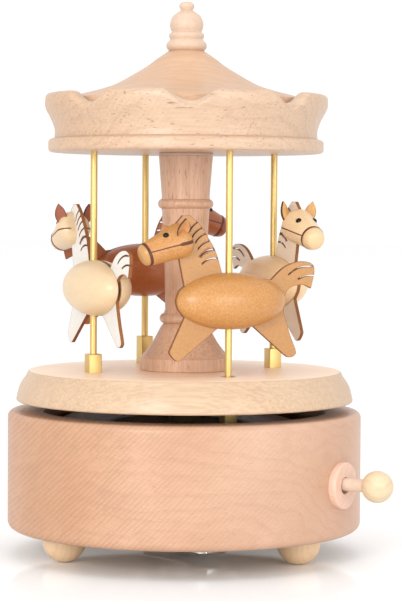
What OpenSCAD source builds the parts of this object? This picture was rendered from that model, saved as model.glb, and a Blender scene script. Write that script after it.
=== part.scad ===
// Carousel music box: a wooden drum that holds a wind-up movement, and a turning carousel of four horses.
// Millimetres. +Z is up, the origin is on the carousel's axis where the feet stand, +X is along the stop knob.

/* [Drum and feet] */
// Outer radius of the drum
drum_r = 57.5; // [50:0.5:70]
// Thickness of the drum's wall
drum_wall = 6; // [4:0.5:8]
// Radius of the opening in the drum's upper face
mouth_r = 46; // [45:0.5:50]
// Height of the drum from its lower to its upper rim
drum_h = 38.1; // [36:0.1:60]
// Rounding of the drum's upper outer edge
drum_top_round = 2; // [0.5:0.1:3]
// Rounding of the drum's lower outer edge
drum_bottom_round = 2.4; // [0.5:0.1:2.8]
// Thickness of the plywood base plate
base_t = 4; // [3:0.1:6]
// Diameter of the ball feet
foot_d = 14; // [10:0.5:18]
// Height of the drum's lower rim above the standing plane
foot_h = 8.7; // [7:0.1:12]
// Radius of the sanded flat under each foot
foot_flat_r = 1.8; // [1:0.1:3]
// Radius of the circle that the feet stand on
foot_circle_r = 43; // [36:0.5:46]

/* [Stop knob] */
// Height of the knob's axis above the standing plane
knob_z = 26.5; // [24:0.1:30]
// Diameter of the ball on the knob
knob_d = 10; // [8:0.5:12]
// Diameter of the dowel that carries the ball
dowel_d = 4.1; // [3.5:0.1:5]
// Bare length of dowel between the washer and the ball
dowel_bare = 6.2; // [5.5:0.1:10]
// Diameter of the wooden washer round the dowel
washer_d = 14.8; // [10:0.1:18]
// Thickness of the washer at its middle
washer_t = 2; // [1:0.1:3]
// Travel of the knob as it is pushed in
stop_travel = 4.5; // [3:0.1:5]

/* [Carousel] */
// Gap between the drum and the turntable
table_gap = 3.1; // [2:0.1:5]
// Thickness of the turntable
table_t = 9.95; // [8:0.05:14]
// Radius of the turntable at its lower edge
table_r = 54.8; // [48:0.1:60]
// How far the turntable's side leans in
table_taper = 3.5; // [0:0.1:6]
// Height of the turned column
column_h = 69.6; // [64:0.1:90]
// Radius of the column's foot
column_foot_r = 14.7; // [11:0.1:18]
// Radius of the column's shaft where it is thinnest
column_shaft_r = 6.5; // [5.5:0.1:8]
// Thickness of the collar between column and canopy
collar_t = 1; // [0.6:0.1:2]

/* [Canopy] */
// Largest radius of the canopy's rim
canopy_r = 46.2; // [42:0.1:52]
// Height of the canopy's rim with its lobes
rim_h = 18.7; // [17:0.1:26]
// Thickness of the wall behind the lobes
rim_wall = 4.2; // [3:0.1:6]
// Thickness of the solid floor that guides the poles
rim_floor = 12.1; // [11.6:0.1:14]
// Number of notches between the lobes
notches = 8; // [6:1:12]
// Width of a notch at its top
notch_w = 17; // [10:0.5:20]
// Depth of a notch
notch_depth = 4.5; // [3:0.1:6]
// Height of the roof from the rim's floor to its top
roof_h = 20.95; // [18:0.05:30]
// Height of the finial above the roof
finial_h = 15.95; // [12:0.05:20]

/* [Horses] */
// Number of horses
horses = 4;
// Radius of the circle that the poles stand on
pole_circle_r = 32.3; // [29:0.1:36]
// Angle of the first pole from the stop knob
pole_angle = -33; // [-180:1:180]
// Diameter of the poles
pole_d = 2.2; // [1.8:0.1:2.6]
// Height of a horse's middle above the turntable, halfway up its stroke
ride_h = 27.73; // [27:0.01:32]
// Half of a pole's stroke
lift = 4.05; // [2:0.05:4.2]
// Direction in which the poles stand highest
high_side = 138.5; // [-180:0.5:180]
// Thickness of the flat profile of a horse
profile_t = 1.1; // [0.9:0.1:1.8]
// Length of a horse's flanks
flank_l = 37.4; // [30:0.1:44]
// Radius of a horse's flanks
flank_r = 8.9; // [7:0.1:10]
// Side of the square guide blocks
block_w = 4.3; // [3.5:0.1:5]
// Length of the guide blocks
block_l = 14; // [12:0.1:18]
// Place of the flanks' middle along each horse, forwards from its pole
flank_at = [-0.5, -0.5, -0.5, -2.6];
// Lean of each horse's ears, away from upright
ear_lean = [58, 14, 14, 14];
// Drop of each guide block's top below its horse's middle
block_drop = [24.2, 22, 22.4, 21.2];

/* [Movement] */
// Radius of the spring barrel
barrel_r = 12; // [11:0.1:13]
// Height of the spring barrel without its crown of teeth
barrel_h = 9; // [8:0.1:11]
// Radius of the music cylinder
cylinder_r = 6.5; // [5.6:0.1:6.6]
// Number of notes on the comb
notes = 18; // [12:1:22]
// Spacing of the notes along the cylinder
note_pitch = 1; // [0.8:0.01:1.05]
// Outer radius of the tilted cam ring
cam_r = 42; // [38:0.5:46]
// Inner radius of the cam ring
cam_hole_r = 27; // [24:0.5:30]
// Thickness of the cam ring
cam_t = 0.8; // [0.6:0.1:1.5]
// Half of the winding key's width across the wings
key_reach = 20; // [14:0.5:26]
// Running clearance of turning and sliding pieces
run_gap = 0.05; // [0.02:0.01:0.09]

/* [Hidden] */
$fn = 64;
eps = 0.01;
loose = 0.35;
lip_t = 3.5;
screw_r = 1.5;
comb_screw_r = 1.2;
comb_screw_back = 4.5;
comb_screw_shares = [0.2, 0.8];
hub_screw_r = 0.9;
hub_screw_circle_r = 7;
hub_screw_angles = [30, 150, 270];
glue_gap = 0.02;

// Heights, from the standing plane up
drum_top = foot_h + drum_h;
floor_z = foot_h + base_t;
drum_bore_r = drum_r - drum_wall;
rebate_r = drum_bore_r + drum_wall / 2;
table_z = drum_top + table_gap;
table_top = table_z + table_t;
column_top = table_top + column_h;
canopy_z = column_top + collar_t;
rim_floor_z = canopy_z + rim_floor;
rim_top = canopy_z + rim_h;
rim_bore_r = canopy_r - rim_wall;
roof_top = rim_floor_z + roof_h;
finial_top = roof_top + finial_h;
tenon_r = 5;
tenon_l = 6.5;
top_tenon_r = 4;
top_tenon_l = 5.5;
notch_turn = 21.8;
notch_slope = 12;
finial_tenon_r = 2.5;

// Horses and poles
pole_r = pole_d / 2;
pole_bottom_drop = ride_h - lift + table_t + table_gap + 1.65;
pole_top_rise = canopy_z + 1.6 - table_top - ride_h + lift;
function pole_a(i) = pole_angle + i * 360 / horses;
function horse_z(i) = table_top + ride_h + lift * cos(pole_a(i) - high_side);
flank_axis = 0.1;
slit_w = 0.45;
head_tilt = 21;
head_at = [14.2, 20];
head_l = 17.2;
head_r = 5.6;
muzzle_r = 3.7;
ear_at = [17, 4.1, 24.2];
mane_cuts = [[9.5, 11.7], [10.1, 14.1], [10.9, 16.4], [11.8, 18.4], [13, 19.9], [14, 21.5]];

// Movement
bed_t = 1.5;
bed_z = floor_z + bed_t;
arbor_r = 2.5;
barrel_z = bed_z + 0.8;
crown_z = barrel_z + barrel_h;
crown_teeth = 36;
crown_r = 10.5;
crown_face = 2.2;
crown_h = 1.05;
pinion_teeth = 12;
pinion_r = crown_r * pinion_teeth / crown_teeth;
axis_z = crown_z + 0.6 + pinion_r;
post_r = 3;
bridge_z = crown_z + 5.2;
bridge_t = 1.5;
bridge_y = barrel_r + 3.5;
pillar_r = 2.5;
bracket_x = barrel_r + 0.6;
bracket_t = 1;
bracket_w = 9;
cylinder_x = bracket_x + bracket_t + 0.6;
cylinder_l = notes * note_pitch + 0.4;
pin_reach = 0.45;
gear_x = cylinder_x + cylinder_l + 0.2;
gear_t = 1.4;
gear_module = 0.4;
gear_teeth = 28;
idler_teeth = 8;
outer_ear_x = gear_x + gear_t + 0.6;
idler_y = (gear_teeth + idler_teeth) * gear_module / 2 + 0.1;
wheel_teeth = 22;
wheel_r = 4.2;
wheel_x = outer_ear_x + bracket_t + 2;
worm_r = 1.1;
worm_throw = 0.5;
worm_y = idler_y + wheel_r + 1.5;
worm_l = 8;
worm_pitch = 2 * PI * wheel_r / wheel_teeth;
fan_r = 3.6;
governor_x = outer_ear_x + bracket_t + 0.5;
governor_w = 5.6;
governor_top = axis_z + wheel_r + 1.1;
fan_z = bed_z + 2.2;
wheel_mid = wheel_x + 0.6;
comb_t = 1;
comb_tip_y = -(cylinder_r + pin_reach + 0.15);
comb_root_y = comb_tip_y - 9.9;
comb_back_y = comb_root_y - 9;
comb_x = cylinder_x + 0.1;
screw_places = [[12.5, 9.4], [12.5, -9.4], [-11, 8], [-11, -8]];
cam_z = drum_top - 6.5;
cam_slope = atan(lift / pole_circle_r);
post_circle_r = cam_r - 2.5;
function cam_height(r, a) = cam_z + r * tan(cam_slope) * cos(a - high_side);
key_turn = -27.5;
key_z = 2;
key_t = 1.2;
key_w = 13;
wire_r = 0.5;
wire_x = governor_x + governor_w + stop_travel + 1.8;
wire_y = worm_y - 1.8;
wire_z = fan_z + 2.6;
dowel_in = wire_x - 2.7;
knob_x = drum_r + washer_t + dowel_bare + knob_d / 2;
washer_side = 0.7;
washer_drop = 0.6;
washer_hole_gap = 0.65;
washer_hole_r = dowel_d / 2 + washer_hole_gap;
washer_hole_drop = 0.45;

// Points along an arc, from angle a to angle b
function arc(c, r, a, b, n = 5) = [for (k = [0:n]) c + r * [cos(a + (b - a) * k / n), sin(a + (b - a) * k / n)]];

// A smooth line through hand-placed points
function between(p, q, r, s, t) =
    0.5 * (2 * q + (r - p) * t + (2 * p - 5 * q + 4 * r - s) * t * t + (3 * q - p - 3 * r + s) * t * t * t);
function smooth(pts, n = 3) = [for (i = [0:len(pts) - 2], k = [0:n - 1])
    between(pts[max(i - 1, 0)], pts[i], pts[i + 1], pts[min(i + 2, len(pts) - 1)], k / n), pts[len(pts) - 1]];

function reversed(pts) = [for (i = [len(pts) - 1:-1:0]) pts[i]];

// A thin curved saw cut in a flat outline
module arc_slit(c, r, a, b) {
    polygon(concat(arc(c, r + slit_w / 2, a, b, 6), reversed(arc(c, r - slit_w / 2, a, b, 6))));
}

// A saw cut that starts at one point, bows upwards and leaves in a direction
module bowed_slit(from, direction, chord, r) {
    half = asin(chord / 2 / r);
    middle = from + chord / 2 * [cos(direction), sin(direction)];
    c = middle - r * cos(half) * [cos(direction - 90), sin(direction - 90)];
    arc_slit(c, r, direction - 90 - half, direction - 90 + half);
}

module along_x(x, y, z, l) {
    translate([x, y, z]) rotate([90, 0, 90]) linear_extrude(l) children();
}

module around_x(x, y, z, l, r) {
    translate([x, y, z]) rotate([0, 90, 0]) cylinder(h = l, r = r);
}

module box_from(x, y, z) {
    translate([x[0], y[0], z[0]]) cube([x[1] - x[0], y[1] - y[0], z[1] - z[0]]);
}

// A gear's outline, with a tooth at angle zero
module gear_outline(teeth, r, add, ded, share = 0.4) {
    step = 360 / teeth;
    polygon([for (k = [0:teeth - 1], p = [[r - ded, -0.36], [r - ded, -share * 0.72], [r + add, -share * 0.28],
        [r + add, share * 0.28], [r - ded, share * 0.72], [r - ded, 0.36]])
        p[0] * [cos((k + p[1]) * step), sin((k + p[1]) * step)]]);
}

module pan_head_screw(head_r, head_h, shank_r, shank_l) {
    difference() {
        union() {
            cylinder(h = head_h, r1 = head_r, r2 = head_r * 0.8);
            translate([0, 0, -shank_l]) cylinder(h = shank_l + eps, r = shank_r);
        }
        translate([-head_r, -0.3, head_h * 0.55]) cube([2 * head_r, 0.6, head_h]);
    }
}

// ---- Drum, base plate and feet

module drum() {
    color([0.86, 0.68, 0.55]) difference() {
        rotate_extrude($fn = 128) polygon(concat(
            [[mouth_r, drum_top - 0.6], [mouth_r, drum_top - lip_t], [drum_bore_r, drum_top - lip_t],
                [drum_bore_r, floor_z], [rebate_r, floor_z], [rebate_r, foot_h]],
            arc([drum_r - drum_bottom_round, foot_h + drum_bottom_round], drum_bottom_round, -90, 0, 4),
            arc([drum_r - drum_top_round, drum_top - drum_top_round], drum_top_round, 0, 90, 4),
            [[mouth_r + 0.6, drum_top]]));
        around_x(drum_bore_r - 1, 0, knob_z, drum_wall + 2, dowel_d / 2 + loose);
    }
}

module base_plate() {
    color([0.80, 0.66, 0.50]) difference() {
        translate([0, 0, foot_h]) cylinder(h = base_t, r = rebate_r - glue_gap, $fn = 128);
        translate([0, 0, foot_h - 1]) cylinder(h = base_t + 2, r = arbor_r + 1);
        for (p = screw_places)
            translate([p[0], p[1], foot_h - 1]) cylinder(h = base_t + 2, r = screw_r + glue_gap, $fn = 32);
    }
}

module feet() {
    sink = foot_d / 2 - sqrt(pow(foot_d / 2, 2) - pow(foot_flat_r, 2));
    color([0.95, 0.85, 0.70]) for (a = [0, 120, 240]) rotate(a) translate([foot_circle_r, 0, 0])
        intersection() {
            translate([0, 0, foot_d / 2 - sink]) sphere(d = foot_d);
            cylinder(h = foot_h, r = foot_d);
        }
}

// ---- Stop knob

module knob_washer() {
    color([0.93, 0.82, 0.68]) difference() {
        around_x(drum_r - 1.5, washer_side, knob_z - washer_drop, washer_t + 1.5, washer_d / 2);
        around_x(drum_r - 3, 0, knob_z - washer_hole_drop, washer_t + 6, washer_hole_r);
        translate([0, 0, foot_h]) cylinder(h = drum_h, r = drum_r, $fn = 128);
    }
}

module stop_knob() {
    color([0.95, 0.85, 0.70]) difference() {
        translate([knob_x, 0, knob_z]) sphere(d = knob_d);
        around_x(knob_x - knob_d, 0, knob_z, knob_d, dowel_d / 2 + glue_gap);
    }
}

module stop_dowel() {
    color([0.90, 0.78, 0.62]) difference() {
        around_x(dowel_in, 0, knob_z, knob_x - dowel_in - 0.05, dowel_d / 2);
        translate([wire_x, 0, knob_z - dowel_d]) cylinder(h = 2 * dowel_d, r = wire_r + glue_gap, $fn = 32);
    }
}

// A bent wire that stands in the fan's way when the knob is pushed in
module stop_wire() {
    reach = governor_x + governor_w + 1.1;
    color([0.75, 0.75, 0.75]) {
        translate([wire_x, 0, wire_z]) cylinder(h = knob_z + dowel_d / 2 - wire_z, r = wire_r, $fn = 32);
        translate([wire_x, 0, wire_z]) sphere(r = wire_r, $fn = 32);
        translate([wire_x, 0, wire_z]) rotate([-90, 0, 0]) cylinder(h = wire_y, r = wire_r, $fn = 32);
        translate([wire_x, wire_y, wire_z]) sphere(r = wire_r, $fn = 32);
        around_x(reach, wire_y, wire_z, wire_x - reach, wire_r);
    }
}

// ---- Movement that stays still

module bedplate() {
    block_x = [comb_x - 0.6, comb_x + cylinder_l + 0.4];
    color([0.72, 0.70, 0.66]) difference() {
        union() {
            box_from([-16, governor_x + governor_w + 1], [comb_back_y - 1, bridge_y + 4], [floor_z, bed_z]);
            box_from(block_x, [comb_back_y, comb_root_y], [floor_z, axis_z - comb_t / 2]);
        }
        translate([0, 0, floor_z - 1]) cylinder(h = bed_t + 2, r = arbor_r + run_gap);
        for (p = screw_places)
            translate([p[0], p[1], floor_z - 1]) cylinder(h = bed_t + 2, r = screw_r + glue_gap, $fn = 32);
        for (k = comb_screw_shares)
            translate([comb_x + cylinder_l * k, comb_root_y - comb_screw_back, axis_z - 8]) cylinder(h = 10, r = comb_screw_r + glue_gap, $fn = 32);
    }
}

module movement_screws() {
    color([0.70, 0.70, 0.72]) for (p = screw_places)
        translate([p[0], p[1], foot_h]) mirror([0, 0, 1]) pan_head_screw(2.5, 1.8, screw_r, base_t + bed_t - 0.1, $fn = 32);
}

module comb() {
    color([0.62, 0.63, 0.65]) translate([0, 0, axis_z - comb_t / 2]) difference() {
        box_from([comb_x, comb_x + notes * note_pitch], [comb_back_y, comb_tip_y], [0, comb_t]);
        for (k = [1:notes - 1])
            box_from([comb_x + k * note_pitch - 0.12, comb_x + k * note_pitch + 0.12], [comb_root_y + 1, 0], [-1, 2]);
        for (k = comb_screw_shares)
            translate([comb_x + cylinder_l * k, comb_root_y - comb_screw_back, -1]) cylinder(h = 4, r = comb_screw_r + glue_gap, $fn = 32);
    }
}

module comb_screws() {
    color([0.75, 0.75, 0.77]) for (k = comb_screw_shares)
        translate([comb_x + cylinder_l * k, comb_root_y - comb_screw_back, axis_z + comb_t / 2])
            pan_head_screw(2.3, 1.4, comb_screw_r, 7, $fn = 32);
}

module cylinder_bracket() {
    half = bracket_w / 2;
    color([0.78, 0.76, 0.70]) difference() {
        union() {
            box_from([bracket_x, outer_ear_x + bracket_t], [-half, half], [bed_z, bed_z + 1]);
            for (x = [bracket_x, outer_ear_x])
                box_from([x, x + bracket_t], [-half, half], [bed_z, axis_z + 3]);
        }
        around_x(bracket_x - 1, 0, axis_z, outer_ear_x - bracket_x + 4, 1 + run_gap);
        for (p = screw_places)
            translate([p[0], p[1], bed_z - 1]) cylinder(h = 4, r = 2, $fn = 32);
    }
}

module governor_frame() {
    far_x = governor_x + governor_w;
    color([0.78, 0.76, 0.70]) difference() {
        union() {
            box_from([governor_x, far_x], [idler_y - 3, worm_y + 4], [bed_z, bed_z + 1.2]);
            box_from([governor_x, governor_x + 0.8], [idler_y - 3, idler_y + 1.8], [bed_z, axis_z + 2]);
            box_from([far_x - 0.8, far_x], [idler_y - 3, idler_y + 1.8], [bed_z, governor_top + 1]);
            box_from([wheel_mid - 1.5, far_x], [idler_y - 3, worm_y + 1.6], [governor_top, governor_top + 1]);
        }
        around_x(governor_x - 1, idler_y, axis_z, governor_w + 2, 0.6 + run_gap);
        translate([wheel_mid, worm_y, bed_z + 0.4]) cylinder(h = 30, r = 0.5 + run_gap);
    }
}

module bearing_bridge() {
    color([0.78, 0.76, 0.70]) difference() {
        union() {
            box_from([-3.5, 3.5], [-bridge_y - 2.5, bridge_y + 2.5], [bridge_z, bridge_z + bridge_t]);
            translate([0, 0, bridge_z - 1]) cylinder(h = bridge_t + 2, r = post_r + 1.6);
            for (y = [-bridge_y, bridge_y])
                translate([0, y, bed_z]) cylinder(h = bridge_z - bed_z + eps, r = pillar_r);
        }
        translate([0, 0, bridge_z - 2]) cylinder(h = bridge_t + 5, r = post_r + run_gap);
    }
}

// A flat ring, tilted so that the pole feet rise and sink as the carousel turns over it
module cam_ring() {
    color([0.66, 0.67, 0.68]) translate([0, 0, cam_z]) rotate(high_side) rotate([0, -cam_slope, 0])
        difference() {
            translate([0, 0, -cam_t]) cylinder(h = cam_t, r = cam_r, $fn = 128);
            translate([0, 0, -cam_t - 1]) cylinder(h = cam_t + 2, r = cam_hole_r, $fn = 128);
        }
}

module cam_posts() {
    color([0.60, 0.50, 0.38]) difference() {
        for (a = [60, 180, 300]) rotate(a) translate([post_circle_r, 0, floor_z])
            cylinder(h = cam_height(post_circle_r, a) - floor_z, r = 2, $fn = 32);
        translate([0, 0, cam_z]) rotate(high_side) rotate([0, -cam_slope, 0])
            translate([0, 0, -cam_t]) cylinder(h = 20, r = cam_r + 5);
    }
}

// ---- Winding

module winding_arbor() {
    color([0.70, 0.70, 0.72]) {
        translate([0, 0, key_z + key_t]) cylinder(h = barrel_z + 1.3 - key_z - key_t, r = arbor_r);
        translate([0, 0, barrel_z + 1.3 - eps]) cylinder(h = barrel_h - 2.6, r = arbor_r + 0.8);
        translate([0, 0, crown_z - 1.3 - 2 * eps]) cylinder(h = 2.3, r = 1.5);
    }
}

// A stamped wing key with its ends bent down
module winding_key() {
    tab = 2.4;
    color([0.78, 0.78, 0.76]) rotate(key_turn) difference() {
        union() {
            intersection() {
                box_from([-key_reach, key_reach], [-key_w / 2, key_w / 2], [key_z, key_z + key_t]);
                union() {
                    box_from([-key_reach, key_reach], [-key_w * 0.36, key_w * 0.36], [0, 9]);
                    for (s = [-1, 1]) translate([s * (key_reach - key_w * 0.5), 0, 0]) cylinder(h = 9, r = key_w / 2);
                }
            }
            for (s = [-1, 1])
                box_from([s * (key_reach - 0.6) - 0.6, s * (key_reach - 0.6) + 0.6], [-3.2, 3.2],
                    [key_z, key_z + key_t + tab]);
            translate([0, 0, key_z]) cylinder(h = 5.2, r = arbor_r + 1.6);
        }
        translate([0, 0, key_z + key_t]) cylinder(h = 9, r = arbor_r + glue_gap);
    }
}

// ---- Movement that turns with the carousel

module spring_barrel() {
    color([0.85, 0.72, 0.40]) difference() {
        union() {
            translate([0, 0, barrel_z]) cylinder(h = barrel_h, r = barrel_r);
            for (k = [0:crown_teeth - 1]) rotate((k + 0.5) * 360 / crown_teeth)
                along_x(crown_r - crown_face / 2, 0, crown_z - eps, crown_face)
                    polygon([[-0.42, 0], [0.42, 0], [0.2, crown_h], [-0.2, crown_h]]);
        }
        translate([0, 0, barrel_z + 0.8]) cylinder(h = barrel_h - 1.8, r = barrel_r - 1);
        translate([0, 0, barrel_z - 1]) cylinder(h = 3, r = arbor_r + run_gap);
        translate([0, 0, crown_z - 2]) cylinder(h = 2 + eps, r = 1.5 + run_gap);
        translate([0, 0, crown_z]) cylinder(h = 3, r = post_r + 1);
    }
}

module mainspring() {
    turns = 5;
    steps = 18;
    inner = arbor_r + 1.6;
    outer = barrel_r - 1.5;
    t = 0.35;
    function radius(k) = inner + (outer - inner) * k / (turns * steps);
    color([0.45, 0.47, 0.52]) translate([0, 0, barrel_z + 1.1]) linear_extrude(barrel_h - 2.4)
        polygon([for (k = [0:turns * steps]) radius(k) * [cos(k * 360 / steps), sin(k * 360 / steps)],
            for (k = [turns * steps:-1:0]) (radius(k) + t) * [cos(k * 360 / steps), sin(k * 360 / steps)]]);
}

module drive_post() {
    color([0.85, 0.72, 0.40]) difference() {
        union() {
            translate([0, 0, crown_z]) cylinder(h = table_z - crown_z - 0.2, r = post_r);
            translate([0, 0, crown_z]) cylinder(h = 1.2, r = post_r + 1 - glue_gap);
        }
        translate([0, 0, crown_z - 1]) cylinder(h = 2.2, r = 1.5 + run_gap);
    }
}

module drive_hub() {
    color([0.85, 0.72, 0.40]) difference() {
        union() {
            translate([0, 0, table_z - 1.6]) cylinder(h = 1.6, r = 9);
            translate([0, 0, table_z - 7]) cylinder(h = 6, r = 5);
        }
        translate([0, 0, table_z - 8]) cylinder(h = 9, r = post_r + glue_gap);
        for (a = hub_screw_angles) rotate(a) translate([hub_screw_circle_r, 0, table_z - 3]) cylinder(h = 4, r = hub_screw_r + glue_gap, $fn = 32);
    }
}

module hub_screws() {
    color([0.75, 0.75, 0.77]) for (a = hub_screw_angles) rotate(a) translate([hub_screw_circle_r, 0, table_z - 1.6])
        mirror([0, 0, 1]) pan_head_screw(1.5, 0.9, hub_screw_r, 7, $fn = 32);
}

// ---- Music cylinder and governor

module music_cylinder() {
    color([0.88, 0.76, 0.45]) difference() {
        union() {
            around_x(cylinder_x, 0, axis_z, cylinder_l, cylinder_r);
            for (n = [0:notes - 1], k = [0:2])
                translate([comb_x + (n + 0.5) * note_pitch, 0, axis_z]) rotate([n * 137.5 + k * 121, 0, 0])
                    cylinder(h = cylinder_r + pin_reach, r = 0.2, $fn = 16);
        }
        around_x(cylinder_x - 1, 0, axis_z, cylinder_l + 2, 1 + glue_gap);
    }
}

module cylinder_arbor() {
    start = crown_r - crown_face / 2;
    color([0.85, 0.72, 0.40]) {
        along_x(start, 0, axis_z, bracket_x - 0.25 - start) gear_outline(pinion_teeth, pinion_r, 0.42, 0.7, 0.36);
        around_x(start + 1, 0, axis_z, outer_ear_x + bracket_t + 0.4 - start - 1, 1);
    }
}

module cylinder_gear() {
    color([0.88, 0.76, 0.45]) difference() {
        along_x(gear_x, 0, axis_z, gear_t) gear_outline(gear_teeth, gear_teeth * gear_module / 2, 0.33, 0.5, 0.38);
        around_x(gear_x - 1, 0, axis_z, gear_t + 2, 1 + glue_gap);
    }
}

module idler_arbor() {
    color([0.85, 0.72, 0.40]) {
        along_x(gear_x, idler_y, axis_z, gear_t) rotate(180 / idler_teeth)
            gear_outline(idler_teeth, idler_teeth * gear_module / 2, 0.33, 0.5, 0.38);
        around_x(gear_x + 0.5, idler_y, axis_z, governor_x + governor_w - gear_x, 0.6);
        along_x(wheel_x, idler_y, axis_z, 1.2) gear_outline(wheel_teeth, wheel_r, 0.33, 0.5, 0.36);
    }
}

// The worm and the two-bladed fan that holds the speed down
module governor_fan() {
    worm_bottom = axis_z - worm_l / 2;
    color([0.80, 0.80, 0.82]) translate([wheel_mid, worm_y, 0]) {
        translate([0, 0, bed_z + 0.5]) cylinder(h = governor_top + 0.7 - bed_z, r = 0.5);
        translate([0, 0, worm_bottom]) rotate(90 - 360 * (axis_z - worm_bottom) / worm_pitch)
            linear_extrude(worm_l, twist = -360 * worm_l / worm_pitch, slices = 96)
                translate([worm_throw, 0]) circle(r = worm_r, $fn = 16);
        translate([0, 0, fan_z]) cylinder(h = 5, r = 1);
        rotate(35) box_from([-fan_r, fan_r], [-0.2, 0.2], [fan_z + 0.3, fan_z + 4.7]);
    }
}

// ---- Carousel

module turntable() {
    lower = 0.7;
    upper = 0.9;
    top_r = table_r - table_taper;
    color([0.88, 0.70, 0.57]) difference() {
        rotate_extrude($fn = 128) polygon(concat(
            [[0, table_top], [0, table_z]],
            arc([table_r - lower, table_z + lower], lower, -90, 0, 3),
            smooth([[table_r, table_z + lower], [table_r - table_taper * 0.32, table_z + table_t * 0.5],
                [top_r, table_top - upper]], 3),
            arc([top_r - upper, table_top - upper], upper, 0, 90, 3)));
        translate([0, 0, table_top - tenon_l]) cylinder(h = tenon_l + 1, r = tenon_r + glue_gap);
        for (i = [0:horses - 1]) rotate(pole_a(i)) translate([pole_circle_r, 0, table_z + table_t / 2])
            cube([block_w + 2 * run_gap, block_w + 2 * run_gap, table_t + 2], center = true);
        for (a = hub_screw_angles) rotate(a) translate([hub_screw_circle_r, 0, table_z - 1]) cylinder(h = 6.6, r = hub_screw_r + glue_gap, $fn = 32);
    }
}

module column() {
    z = function (share) table_top + column_h * share;
    neck_r = column_shaft_r + 1.5;
    bead_r = column_shaft_r + 1.8;
    top_bead_r = column_shaft_r + 2.55;
    top_r = column_shaft_r + 2.3;
    color([0.86, 0.70, 0.60]) rotate_extrude($fn = 96) polygon(concat(
        [[0, column_top + collar_t + top_tenon_l], [0, table_top - tenon_l + 0.1], [tenon_r, table_top - tenon_l + 0.1],
            [tenon_r, table_top], [column_foot_r, table_top], [column_foot_r, z(0.058)]],
        smooth([[column_foot_r - 0.5, z(0.064)], [column_foot_r * 0.73, z(0.128)], [neck_r, z(0.2)]], 4),
        arc([bead_r - 1.6, z(0.242)], 1.6, -80, 80, 4),
        smooth([[column_shaft_r, z(0.285)], [column_shaft_r + 0.35, z(0.5)], [column_shaft_r + 1.2, z(0.742)]], 3),
        arc([top_bead_r - 1.6, z(0.777)], 1.6, -75, 75, 4),
        smooth([[column_shaft_r + 1.3, z(0.812)], [top_r, z(1)]], 2),
        [[top_tenon_r, column_top], [top_tenon_r, column_top + collar_t + top_tenon_l]]));
}

module column_collar() {
    color([0.88, 0.74, 0.62]) difference() {
        translate([0, 0, column_top]) cylinder(h = collar_t, r = column_shaft_r + 2.3);
        translate([0, 0, column_top - 1]) cylinder(h = collar_t + 2, r = top_tenon_r + glue_gap);
    }
}

module canopy_rim() {
    bead_r = canopy_r - 1.5;
    neck_r = canopy_r - 3.5;
    color([0.86, 0.68, 0.55]) difference() {
        rotate_extrude($fn = 128) polygon(concat(
            [[0, canopy_z]],
            arc([bead_r - 1.2, canopy_z + 1.2], 1.2, -90, 0, 3),
            arc([bead_r - 1.2, canopy_z + 3.1], 1.2, 0, 90, 3),
            smooth([[neck_r, canopy_z + 4.6], [neck_r, canopy_z + 7.6], [neck_r + 1.3, canopy_z + 11.5],
                [canopy_r, canopy_z + 16.6]], 3),
            arc([canopy_r - 1.4, rim_top - 1.4], 1.4, 0, 90, 3),
            [[rim_bore_r, rim_top], [rim_bore_r, rim_floor_z], [0, rim_floor_z]]));
        for (k = [0:notches - 1]) rotate(pole_angle + notch_turn + k * 360 / notches)
            translate([canopy_r, 0, rim_top]) rotate([0, notch_slope, 0])
            along_x(-rim_wall - 6, 0, 0, rim_wall + 12) polygon(concat(
                [[notch_w / 2, 6], [-notch_w / 2, 6]],
                [for (t = [-1:0.125:1]) [t * notch_w / 2, -notch_depth * (1 + cos(180 * t)) / 2]]));
        translate([0, 0, canopy_z - 1]) cylinder(h = 7.5, r = top_tenon_r + glue_gap);
        for (i = [0:horses - 1]) rotate(pole_a(i)) translate([pole_circle_r, 0, canopy_z - 1])
            cylinder(h = rim_floor - 0.2, r = pole_r + run_gap, $fn = 32);
    }
}

module canopy_roof() {
    edge_r = rim_bore_r - 1.5;
    z = function (share) rim_floor_z + roof_h * share;
    top_r = 5.7;
    color([0.90, 0.68, 0.50]) difference() {
        rotate_extrude($fn = 128) polygon(concat(
            [[0, roof_top], [0, rim_floor_z], [edge_r, rim_floor_z], [edge_r, z(0.17)]],
            smooth([[edge_r - 0.6, z(0.24)], [edge_r * 0.86, z(0.31)], [edge_r * 0.72, z(0.38)],
                [edge_r * 0.56, z(0.485)], [edge_r * 0.333, z(0.737)], [edge_r * 0.232, z(0.881)],
                [top_r, roof_top]], 3)));
        translate([0, 0, roof_top - 6]) cylinder(h = 7, r = finial_tenon_r + glue_gap);
    }
}

module finial() {
    z = function (share) roof_top + finial_h * share;
    color([0.90, 0.74, 0.58]) rotate_extrude($fn = 64) polygon(concat(
        [[0, roof_top - 5.8], [finial_tenon_r, roof_top - 5.8], [finial_tenon_r, roof_top]],
        smooth([[5.7, roof_top], [6.45, z(0.06)], [6.5, z(0.14)], [5.5, z(0.215)]], 3),
        smooth([[5.35, z(0.235)], [5.65, z(0.29)], [5.6, z(0.34)], [4.95, z(0.375)]], 3),
        smooth([[4.9, z(0.388)], [5.35, z(0.48)], [5.35, z(0.58)], [4.4, z(0.71)], [2.6, z(0.795)], [1.9, z(0.825)]], 3),
        smooth([[2.1, z(0.85)], [2.45, z(0.905)], [2.1, z(0.96)], [1.2, z(0.99)], [0, z(1)]], 2)));
}

// ---- One horse on its pole: s runs forwards, the second coordinate runs up, from the body's middle

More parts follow.
